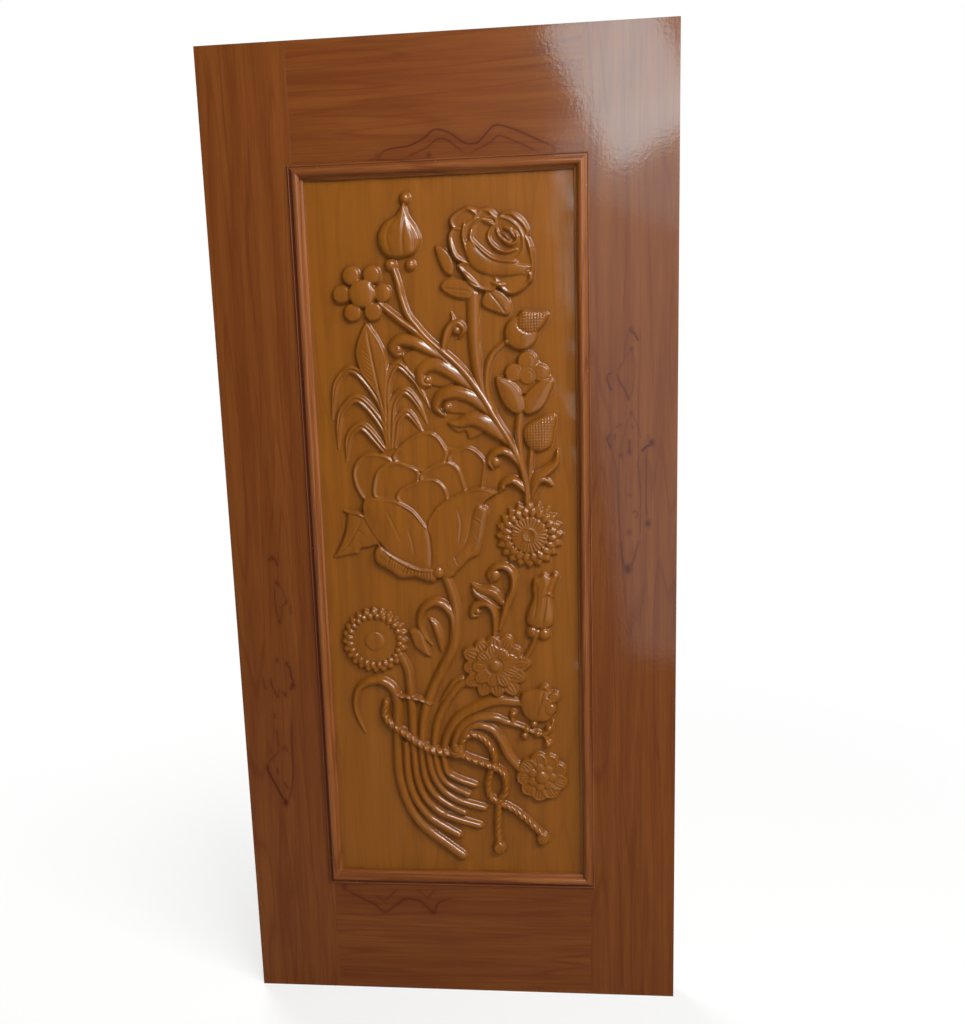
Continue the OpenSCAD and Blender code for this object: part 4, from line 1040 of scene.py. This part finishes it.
def faces_in(bm, low, high):
    """Faces whose middle lies between two corners, in millimetres."""
    reach = 0.01
    return [f for f in bm.faces
            if all(a - reach < c / MM < b + reach for a, c, b in zip(low, f.calc_center_median(), high))]


def push(bm, faces, move):
    """Extrudes some faces by a vector in millimetres and returns their new places' vertices."""
    made = bmesh.ops.extrude_face_region(bm, geom=faces)["geom"]
    verts = [v for v in made if isinstance(v, bmesh.types.BMVert)]
    bmesh.ops.translate(bm, verts=verts, vec=Vector(move) * MM)
    left = [f for f in faces if f.is_valid]
    bmesh.ops.delete(bm, geom=left, context="FACES_ONLY")
    return verts


def open_end(bm, low, high):
    """Takes away the skin that closes the end of a groove, so that a haunch can fill it."""
    bmesh.ops.delete(bm, geom=faces_in(bm, low, high), context="FACES")
    bmesh.ops.remove_doubles(bm, verts=bm.verts[:], dist=1e-6)


def ease_arrises(bm, width):
    """Rounds the long edges of the front and back of a board."""
    face_y = max(v.co.y for v in bm.verts) - 1e-5
    edges = [e for e in bm.edges
             if all(abs(v.co.y) > face_y for v in e.verts) and e.calc_face_angle(0.0) > 1.0]
    bmesh.ops.bevel(bm, geom=edges, offset=width, offset_type="OFFSET", segments=2, profile=0.5,
                    affect="EDGES", material=-1, clamp_overlap=False)


def even_cuts(low, high, size):
    """Places that cut a length into even parts of about a size."""
    return np.linspace(low, high, max(1, round((high - low) / size)) + 1)


def slice_front(bm, zone):
    """Cuts the front face of a board into the cells of a zone."""
    (x0, z0), (x1, z1) = zone
    face_y = min(v.co.y for v in bm.verts)
    for axis, low, high in ((X_AXIS, x0, x1), (Z_AXIS, z0, z1)):
        normal = Vector([float(k == axis) for k in range(3)])
        for place in even_cuts(low, high, FIGURE_CELL):
            faces = [f for f in bm.faces if all(abs(v.co.y - face_y) < 1e-6 for v in f.verts)]
            edges = list({e for f in faces for e in f.edges})
            verts = list({v for f in faces for v in f.verts})
            bmesh.ops.bisect_plane(
                bm, geom=faces + edges + verts, dist=1e-7, plane_co=normal * place * MM, plane_no=normal)


def refine_zone(bm, zone, step):
    """Divides the front faces within a zone, given as low and high corners, into small squares."""
    (x0, z0), (x1, z1) = zone
    face_y = min(v.co.y for v in bm.verts) / MM
    faces = faces_in(bm, (x0, face_y, z0), (x1, face_y, z1))
    edges = list({e for f in faces for e in f.edges})
    size = max(e.calc_length() for e in edges)
    bmesh.ops.subdivide_edges(bm, edges=edges, cuts=max(1, round(size / step) - 1), use_grid_fill=True)


def board_piece(name, bm, figure, material, node):
    """Makes a board's object, with its grain figure as a mark on each vertex of the front."""
    bmesh.ops.recalc_face_normals(bm, faces=bm.faces[:])
    mesh = finished_mesh(name, bm)
    places = np.empty(3 * len(mesh.vertices))
    mesh.vertices.foreach_get("co", places)
    x, y, z = places.reshape(-1, 3).T / MM
    marks = np.where(y < y.min() + 0.01, figure_marks(figure, x, z), 0.0)
    mesh.attributes.new("figure_stain_and_lip_shade", "FLOAT", "POINT").data.foreach_set("value", marks.astype(np.float32))
    return add_piece(name, mesh, material, "frame_wood", node)


def tenon_centres(rail_height):
    """Middle heights of a rail's two tenons above its outer edge, in millimetres."""
    free = rail_height - GROOVE_D
    return [free / 2 + side * (TENON_GAP + TENON_H) / 2 for side in (-1, 1)]


# Heights of the rails and of every tenon's middle, and the size of the cells round a figure, in millimetres
BOTTOM_RAIL_H = BOTTOM_RAIL_EDGE / MM
TOP_RAIL_H = (LEAF_HEIGHT - TOP_RAIL_EDGE) / MM
ALL_TENONS = tenon_centres(BOTTOM_RAIL_H) + [LEAF_HEIGHT / MM - z for z in tenon_centres(TOP_RAIL_H)]
FIGURE_CELL = 36.0


def stile_mesh(zone, sizes):
    """The right-hand stile: grooved along its inner edge, mortised through, and finely divided in a zone."""
    bm = box_mesh(STILE_LOW, STILE_HIGH)
    half_groove = GROOVE_W / 2
    half, flared = TENON_H / 2, TENON_H / 2 + WEDGE_T
    slice_at(bm, Y_AXIS, [-half_groove * MM, half_groove * MM])
    slice_at(bm, Z_AXIS, [(z + d) * MM for z in ALL_TENONS for d in (-flared, -half, half, flared)])
    inner, outer = STILE_LOW.x / MM, STILE_HIGH.x / MM
    slice_at(bm, X_AXIS, [(inner + GROOVE_D) * MM])
    ease_arrises(bm, sizes.arris)
    top = LEAF_HEIGHT / MM
    push(bm, faces_in(bm, (inner, -half_groove, 0), (inner, half_groove, top)), (GROOVE_D, 0, 0))
    for end in (0.0, top):
        open_end(bm, (inner, -half_groove, end), (inner + GROOVE_D, half_groove, end))
    for z in ALL_TENONS:
        mouth = faces_in(bm, (outer, -half_groove, z - flared), (outer, half_groove, z + flared))
        seat = push(bm, mouth, (-WEDGE_L, 0, 0))
        for v in seat:
            rise_mm = v.co.z / MM - z
            if abs(rise_mm) > half + 0.01:
                v.co.z = (z + math.copysign(half + WEDGE_TIP_T, rise_mm)) * MM
        bottom = outer - WEDGE_L
        ends = faces_in(bm, (bottom, -half_groove, z - flared), (bottom, half_groove, z + flared))
        ends += faces_in(bm, (inner + GROOVE_D, -half_groove, z - half),
                         (inner + GROOVE_D, half_groove, z + half))
        bmesh.ops.delete(bm, geom=ends, context="FACES_ONLY")
        bmesh.ops.bridge_loops(bm, edges=[e for e in bm.edges if e.is_boundary])
    slice_front(bm, zone)
    refine_zone(bm, zone, sizes.figure_step)
    return bm


def rail_mesh(rail_height, zone, sizes, upside_down):
    """A rail with a haunch and two tenons at each end and a groove in its inner edge. It is drawn standing on
    the floor, and the top rail is turned upside down."""
    low = Vector((-OPENING_HALF, STILE_LOW.y, 0))
    high = Vector((OPENING_HALF, STILE_HIGH.y, rail_height * MM))
    bm = box_mesh(low, high)
    half_groove = GROOVE_W / 2
    shoulder = OPENING_HALF / MM
    floor = rail_height - GROOVE_D
    slice_at(bm, Y_AXIS, [-half_groove * MM, half_groove * MM])
    slice_at(bm, Z_AXIS, [floor * MM] + [
        (z + side * TENON_H / 2) * MM for z in tenon_centres(rail_height) for side in (-1, 1)])
    ease_arrises(bm, sizes.arris)
    push(bm, faces_in(bm, (-shoulder, -half_groove, rail_height), (shoulder, half_groove, rail_height)),
         (0, 0, -GROOVE_D))
    for end in (-shoulder, shoulder):
        open_end(bm, (end, -half_groove, floor), (end, half_groove, rail_height))
    reach = (STILE_HIGH.x - OPENING_HALF) / MM - GROOVE_D
    for side in (-1, 1):
        end = side * shoulder
        push(bm, faces_in(bm, (end, -half_groove, 0), (end, half_groove, floor)), (side * GROOVE_D, 0, 0))
        haunch = end + side * GROOVE_D
        for z in tenon_centres(rail_height):
            push(bm, faces_in(bm, (haunch, -half_groove, z - TENON_H / 2),
                              (haunch, half_groove, z + TENON_H / 2)), (side * reach, 0, 0))
    if upside_down:
        bmesh.ops.transform(bm,
                            matrix=Matrix.Translation((0, 0, LEAF_HEIGHT)) @ Matrix.Scale(-1, 4, (0, 0, 1)),
                            verts=bm.verts[:])
    slice_front(bm, zone)
    refine_zone(bm, zone, sizes.figure_step)
    return bm


def carved_tile(name, relief, normals, rows, material):
    """One part of the carved face: a grid raised to the carved heights, with walls and a flat back."""
    columns, count = len(relief.x), rows.stop - rows.start
    bm = bmesh.new()
    bmesh.ops.create_grid(bm, x_segments=columns - 1, y_segments=count - 1, size=0.5)
    border = [e for e in bm.edges if e.is_boundary]
    walls = bmesh.ops.extrude_edge_only(bm, edges=border)["geom"]
    back = {v for v in walls if isinstance(v, bmesh.types.BMVert)}
    bmesh.ops.translate(bm, verts=list(back), vec=(0, 0, -1))
    rim = [e for e in walls if isinstance(e, bmesh.types.BMEdge) and back.issuperset(e.verts)]
    bmesh.ops.edgeloop_fill(bm, edges=rim)
    bmesh.ops.recalc_face_normals(bm, faces=bm.faces[:])
    mesh = finished_mesh(name, bm)
    grid = np.empty(3 * len(mesh.vertices))
    mesh.vertices.foreach_get("co", grid)
    grid = grid.reshape(-1, 3)
    i = np.rint((grid[:, 0] + 0.5) * (columns - 1)).astype(int)
    k = np.rint((grid[:, 1] + 0.5) * (count - 1)).astype(int) + rows.start
    front = grid[:, 2] > -0.5
    face = -PANEL_T / 2
    places = np.stack((relief.x[i], np.where(front, face - relief.height[k, i], face + SKIN_T), relief.z[k]),
                      1)
    mesh.vertices.foreach_set("co", (places * MM).ravel())
    mesh.update()
    # Each front vertex carries the painted shade of the carving's recesses
    recess = np.where(front, relief.recess[k, i], 0.0)
    mesh.attributes.new("recess", "FLOAT", "POINT").data.foreach_set("value", recess.astype(np.float32))
    corners = np.empty(len(mesh.loops), int)
    mesh.loops.foreach_get("vertex_index", corners)
    flat = np.empty(3 * len(mesh.polygons))
    mesh.polygons.foreach_get("normal", flat)
    sides = np.empty(len(mesh.polygons), int)
    mesh.polygons.foreach_get("loop_total", sides)
    flat = np.repeat(flat.reshape(-1, 3), sides, axis=0)
    shading = np.where(flat[:, 1:2] < -1e-4, normals[k, i][corners], flat)
    mesh.polygons.foreach_set("use_smooth", np.ones(len(mesh.polygons), bool))
    mesh.normals_split_custom_set(shading.tolist())
    return add_piece(name, mesh, material, "panel_wood", "carved_panel")


def panel_board_mesh():
    """The board behind the carving: a tongue all round, a plain back, and a pocket for the carved skin."""
    tongue = TONGUE_T / 2 * MM
    low = Vector((PANEL_LOW.x, -tongue, PANEL_LOW.z))
    high = Vector((PANEL_HIGH.x, tongue, PANEL_HIGH.z))
    bm = box_mesh(low, high)
    board_half = OPENING_HALF / MM - PANEL_PLAY
    for side in (-1, 1):
        face = faces_in(bm, (-BEYOND, side * TONGUE_T / 2, -BEYOND), (BEYOND, side * TONGUE_T / 2, BEYOND))
        bmesh.ops.inset_region(bm, faces=face, thickness=(PANEL_HIGH.x / MM - board_half) * MM,
                               use_even_offset=True)
        push(bm, face, (0, side * (PANEL_T - TONGUE_T) / 2, 0))
    face = faces_in(bm, (-BEYOND, -PANEL_T / 2, -BEYOND), (BEYOND, -PANEL_T / 2, BEYOND))
    bmesh.ops.inset_region(bm, faces=face, thickness=(board_half - FIELD_HIGH[0]) * MM, use_even_offset=True)
    push(bm, face, (0, SKIN_T, 0))
    bmesh.ops.recalc_face_normals(bm, faces=bm.faces[:])
    return finished_mesh("panel_board", bm)


# Operators that build the pieces

def teak_of(part, grain_axis, lip=0.0):
    """The lacquered teak of a part of the door, made once for each direction of its grain and each strength
    of the painted shade along its lip."""
    colours = bpy.context.scene.door_colours
    name = f"lacquered_teak_{part}_{'xyz'[grain_axis]}"
    if lip:
        name += f"_lip_{lip:.1f}"
    if name in bpy.data.materials:
        return bpy.data.materials[name]
    light, dark = getattr(colours, f"{part}_light"), getattr(colours, f"{part}_dark")
    if part == "panel":
        # The panel is darkened by the painted shade of its carving's recesses, the boards by their grain
        # figures, and the mouldings by painted shade along their lips
        return lacquered_teak(
            name, light, dark, grain_axis, "recess", colours.recess_dark, contrast=0.8, gloss=0.9)
    return lacquered_teak(
        name, light, dark, grain_axis, "figure_stain_and_lip_shade", colours.figure_and_lip_shade, contrast=1.0, gloss=0.9, lip=lip)


class DOOR_OT_carved_panel(bpy.types.Operator):
    """Carve the panel's bouquet and lay it on the panel board"""

    bl_idname = "door.carved_panel"
    bl_label = "Carved panel"

    def execute(self, context):
        sizes = context.scene.door_sizes
        relief = carve(FIELD_LOW, FIELD_HIGH, sizes.carving_step / MM, sizes.ground_wave / MM)
        slope_z, slope_x = np.gradient(relief.height, relief.z, relief.x)
        normals = np.stack((-slope_x, -np.ones_like(slope_x), -slope_z), -1)
        normals /= np.linalg.norm(normals, axis=-1, keepdims=True)
        teak = teak_of("panel", Z_AXIS)
        cuts = np.linspace(0, len(relief.z) - 1, TILES + 1).astype(int)
        for tile, (first, last) in enumerate(zip(cuts, cuts[1:])):
            carved_tile(f"carving_{tile + 1}", relief, normals, slice(first, last + 1), teak)
        add_piece("panel_board", panel_board_mesh(), teak, "panel_wood", "carved_panel")
        return {"FINISHED"}


class DOOR_OT_stiles(bpy.types.Operator):
    """Build the two stiles with their mortises and grain figures"""

    bl_idname = "door.stiles"
    bl_label = "Stiles"

    def execute(self, context):
        sizes = context.scene.door_sizes
        teak = teak_of("frame", Z_AXIS)
        right = stile_mesh(RIGHT_ZONE, sizes)
        board_piece("right_stile", right, RIGHT_FIGURE, teak, "stile_right")
        left = stile_mesh(LEFT_ZONE, sizes)
        bmesh.ops.scale(left, vec=(-1, 1, 1), verts=left.verts[:])
        board_piece("left_stile", left, LEFT_FIGURE, teak, "stile_left")
        return {"FINISHED"}


class DOOR_OT_rails(bpy.types.Operator):
    """Build the two rails with their tenons and grain figures"""

    bl_idname = "door.rails"
    bl_label = "Rails"

    def execute(self, context):
        sizes = context.scene.door_sizes
        teak = teak_of("frame", X_AXIS)
        top = rail_mesh(TOP_RAIL_H, TOP_ZONE, sizes, True)
        board_piece("top_rail", top, TOP_FIGURE, teak, "rail_top")
        bottom = rail_mesh(BOTTOM_RAIL_H, BOTTOM_ZONE, sizes, False)
        board_piece("bottom_rail", bottom, BOTTOM_FIGURE, teak, "rail_bottom")
        return {"FINISHED"}


# How much painted shade lies along the lip of each moulding: most on the left and bottom ones, whose lips
# face away from the light from the upper right
PAINTED_LIP_SHADE_BY_SIDE = {"left": 0.9, "bottom": 0.7, "right": 0.2, "top": 0.3}


class DOOR_OT_mouldings(bpy.types.Operator):
    """Finish the mouldings of both faces"""

    bl_idname = "door.mouldings"
    bl_label = "Mouldings"

    def execute(self, context):
        for face in ("front", "back"):
            for side, grain in (("top", X_AXIS), ("bottom", X_AXIS), ("left", Z_AXIS), ("right", Z_AXIS)):
                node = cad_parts[f"moulding_{face}_{side}"]
                node.material_slots[0].material = teak_of("moulding", grain, PAINTED_LIP_SHADE_BY_SIDE[side])
        return {"FINISHED"}


class DOOR_OT_fixings(bpy.types.Operator):
    """Finish the wedges and the panel pins"""

    bl_idname = "door.fixings"
    bl_label = "Wedges and pins"

    def execute(self, context):
        colours = context.scene.door_colours
        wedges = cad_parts["tenon_wedges"]
        wedges.material_slots[0].material = bare_end_grain("bare_end_grain", colours.end_grain)
        wire = drawn_wire("drawn_steel_wire", colours.steel)
        for name in ("pins_front", "pins_back"):
            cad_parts[name].material_slots[0].material = wire
        return {"FINISHED"}


# Camera fitted to the corners of the leaf in the photograph: its place in metres, its turn in degrees, and
# its lens and sensor in millimetres
CAMERA_PLACE = (0.2179, -1.7383, 1.3543)
CAMERA_TURN = (80.808, 1.609, 4.651)
CAMERA_LENS = 30.456
SENSOR_WIDTH = 36.0

# Cool light of an overcast sky, for the lamps that mirror in the lacquer
DAYLIGHT = (0.76, 0.95, 1.0)


def soft_lamp(name, place, target, width, height, power, roll=0.0, colour=(1.0, 1.0, 1.0)):
    """A soft rectangular lamp that looks at a target, rolled by some degrees."""
    lamp = bpy.data.lights.new(name, "AREA")
    lamp.shape = "RECTANGLE"
    lamp.size, lamp.size_y, lamp.energy = width, height, power
    lamp.color = colour
    holder = bpy.data.objects.new(name, lamp)
    holder.location = place
    aim = (Vector(target) - Vector(place)).to_track_quat("-Z", "Y").to_matrix()
    holder.rotation_euler = (aim @ Matrix.Rotation(math.radians(roll), 3, "Z")).to_euler()
    bpy.context.scene.collection.objects.link(holder)
    return holder


WHITE = (1.0, 1.0, 1.0, 1.0)

# Radius of the room in front of the door in metres, and how bright it is in a mirror
ROOM_RADIUS = 6.0
ROOM_LEVEL = 0.03

# Half width of the floor in metres, the distances between which the door's shadow fades on it, and the share
# of plain white in the shadow
FLOOR_HALF = 12.0
SHADOW_NEAR, SHADOW_FAR = 0.4, 2.2
SHADOW_WHITE = 0.6

# Strength of the world's light on the door
WORLD_LEVEL = 0.17


def stage_object(name, bm, material):
    """An object of the stage, made from a bmesh."""
    mesh = finished_mesh(name, bm)
    mesh.materials.append(material)
    made = bpy.data.objects.new(name, mesh)
    bpy.context.scene.collection.objects.link(made)
    return made


def ray_kinds(tree):
    """Values that are 1 for camera rays, and for rays that a mirror or glass sends on."""
    path = add(tree, "ShaderNodeLightPath").outputs
    sent_on = add(tree, "ShaderNodeMath", {
        0: path["Is Glossy Ray"], 1: path["Is Transmission Ray"]}, operation="MAXIMUM")
    return path["Is Camera Ray"], sent_on.outputs[0]


def build_floor(colour):
    """A floor that is white to the eye and in mirrors, and keeps the door's shadow."""
    material, tree = new_material("painted_studio_floor")
    matt = add(tree, "ShaderNodeBsdfDiffuse", {"Color": colour})
    white = add(tree, "ShaderNodeEmission", {"Color": WHITE, "Strength": 1.0})
    spot = add(tree, "ShaderNodeTexCoord").outputs["Object"]
    away = add(tree, "ShaderNodeVectorMath", {0: spot}, operation="LENGTH").outputs["Value"]
    pale = add(tree, "ShaderNodeMapRange", {
        "Value": away, "From Min": SHADOW_NEAR, "From Max": SHADOW_FAR, "To Min": SHADOW_WHITE,
        "To Max": 1.0})
    camera_ray, sent_on = ray_kinds(tree)
    direct = add(tree, "ShaderNodeMath", {0: camera_ray, 1: pale.outputs[0]}, operation="MULTIPLY")
    share = add(tree, "ShaderNodeMath", {0: direct.outputs[0], 1: sent_on}, operation="MAXIMUM")
    mixed = add(tree, "ShaderNodeMixShader", {0: share.outputs[0], 1: matt.outputs[0], 2: white.outputs[0]})
    add(tree, "ShaderNodeOutputMaterial", {"Surface": mixed.outputs[0]})
    bm = bmesh.new()
    bmesh.ops.create_grid(bm, x_segments=1, y_segments=1, size=FLOOR_HALF)
    floor = stage_object("floor", bm, material)


def build_dim_room():
    """The unlit room in front of the door: a half dome with a floor, which only glossy rays see, so that the
    lacquer of the carved face mirrors a dark room and the lamps in it, as it does in the photograph."""
    material, tree = new_material("unlit_room")
    dim = add(tree, "ShaderNodeEmission", {"Color": WHITE, "Strength": ROOM_LEVEL})
    add(tree, "ShaderNodeOutputMaterial", {"Surface": dim.outputs[0]})
    bm = bmesh.new()
    bmesh.ops.create_uvsphere(bm, u_segments=48, v_segments=24, radius=ROOM_RADIUS)
    bmesh.ops.bisect_plane(
        bm, geom=bm.verts[:] + bm.edges[:] + bm.faces[:], plane_co=(0, STILE_LOW.y, 0), plane_no=(0, 1, 0),
        clear_outer=True)
    for vert in bm.verts:
        vert.co.z = max(vert.co.z, MM)
    room = stage_object("dim_room", bm, material)
    room.visible_camera = False
    room.visible_diffuse = False
    room.visible_shadow = False
    room.visible_transmission = False


def build_world():
    """A world that is white to the eye and in mirrors, and a weak even light otherwise."""
    world = bpy.data.worlds.new("studio")
    world.use_nodes = True
    tree = world.node_tree
    tree.nodes.clear()
    camera_ray, sent_on = ray_kinds(tree)
    seen = add(tree, "ShaderNodeMath", {0: camera_ray, 1: sent_on}, operation="MAXIMUM")
    level = add(tree, "ShaderNodeMapRange", {"Value": seen.outputs[0], "To Min": WORLD_LEVEL, "To Max": 1.0})
    sky = add(tree, "ShaderNodeBackground", {"Color": WHITE, "Strength": level.outputs[0]})
    add(tree, "ShaderNodeOutputWorld", {"Surface": sky.outputs[0]})
    return world


class DOOR_OT_stage(bpy.types.Operator):
    """Set up the floor, the studio light and the camera"""

    bl_idname = "door.stage"
    bl_label = "Stage"

    def execute(self, context):
        scene, stage = context.scene, context.scene.door_stage
        build_floor(scene.door_colours.floor)
        scene.world = build_world()
        build_dim_room()

        # Lamps by place, target, width and height in metres, power, roll in degrees and colour
        middle = (0.0, 0.0, 1.1)
        corner = (0.34, 0.0, 1.85)
        soft_lamp("window", (3.4, -2.2, 3.7), middle, 1.6, 1.8, stage.window_power)
        soft_lamp("fanlight", (1.15, -2.0, 3.3), middle, 0.9, 0.66, stage.fanlight_power)
        fill = soft_lamp("fill", (-3.6, -2.8, 1.8), middle, 2.0, 2.0, stage.fill_power)
        fill.visible_glossy = False
        soft_lamp("back", (-2.2, 2.8, 2.4), middle, 2.2, 2.2, stage.back_power)
        soft_lamp("glare", (0.52, -2.05, 2.53), corner, 0.42, 0.62, stage.glare_power, 28, DAYLIGHT)
        edge_power = 0.55 * stage.glare_power
        soft_lamp("glare_edge", (0.78, -2.1, 2.5), (0.4, 0.0, 1.85), 0.8, 1.1, edge_power, -24, DAYLIGHT)
        soft_lamp("haze", (1.02, -2.15, 1.2), (0.5, 0.0, 1.1), 1.3, 2.6, stage.haze_power, 8, DAYLIGHT)

        camera = bpy.data.cameras.new("camera")
        camera.lens, camera.sensor_width = CAMERA_LENS, SENSOR_WIDTH
        holder = bpy.data.objects.new("camera", camera)
        holder.location = CAMERA_PLACE
        holder.rotation_euler = [math.radians(a) for a in CAMERA_TURN]
        scene.collection.objects.link(holder)
        scene.camera = holder
        scene.view_settings.view_transform = "Standard"
        return {"FINISHED"}


class DOOR_PT_sidebar(bpy.types.Panel):
    """Lists the door's settings and pieces"""

    bl_label = "Carved door"
    bl_idname = "DOOR_PT_sidebar"
    bl_space_type = "VIEW_3D"
    bl_region_type = "UI"
    bl_category = "Door"

    def draw(self, context):
        scene = context.scene
        for group in (scene.door_sizes, scene.door_colours, scene.door_stage):
            box = self.layout.box()
            for name in group.__annotations__:
                box.prop(group, name)
        for piece in PIECES:
            self.layout.operator(piece.bl_idname)


PIECES = (DOOR_OT_carved_panel, DOOR_OT_stiles, DOOR_OT_rails, DOOR_OT_mouldings, DOOR_OT_fixings,
          DOOR_OT_stage)
GROUPS = {"door_sizes": DoorSizes, "door_colours": DoorColours, "door_stage": DoorStage}


def register():
    """Registers the classes and hangs the settings on the scene."""
    for cls in (*GROUPS.values(), *PIECES, DOOR_PT_sidebar):
        bpy.utils.register_class(cls)
    for name, group in GROUPS.items():
        setattr(bpy.types.Scene, name, PointerProperty(type=group))


def unregister():
    """Takes the settings and the classes away again."""
    for name in GROUPS:
        delattr(bpy.types.Scene, name)
    for cls in reversed((*GROUPS.values(), *PIECES, DOOR_PT_sidebar)):
        bpy.utils.unregister_class(cls)


def main():
    """Builds every piece in order."""
    register()
    bpy.ops.door.carved_panel()
    bpy.ops.door.stiles()
    bpy.ops.door.rails()
    bpy.ops.door.mouldings()
    bpy.ops.door.fixings()
    bpy.ops.door.stage()


if __name__ == "__main__":
    main()
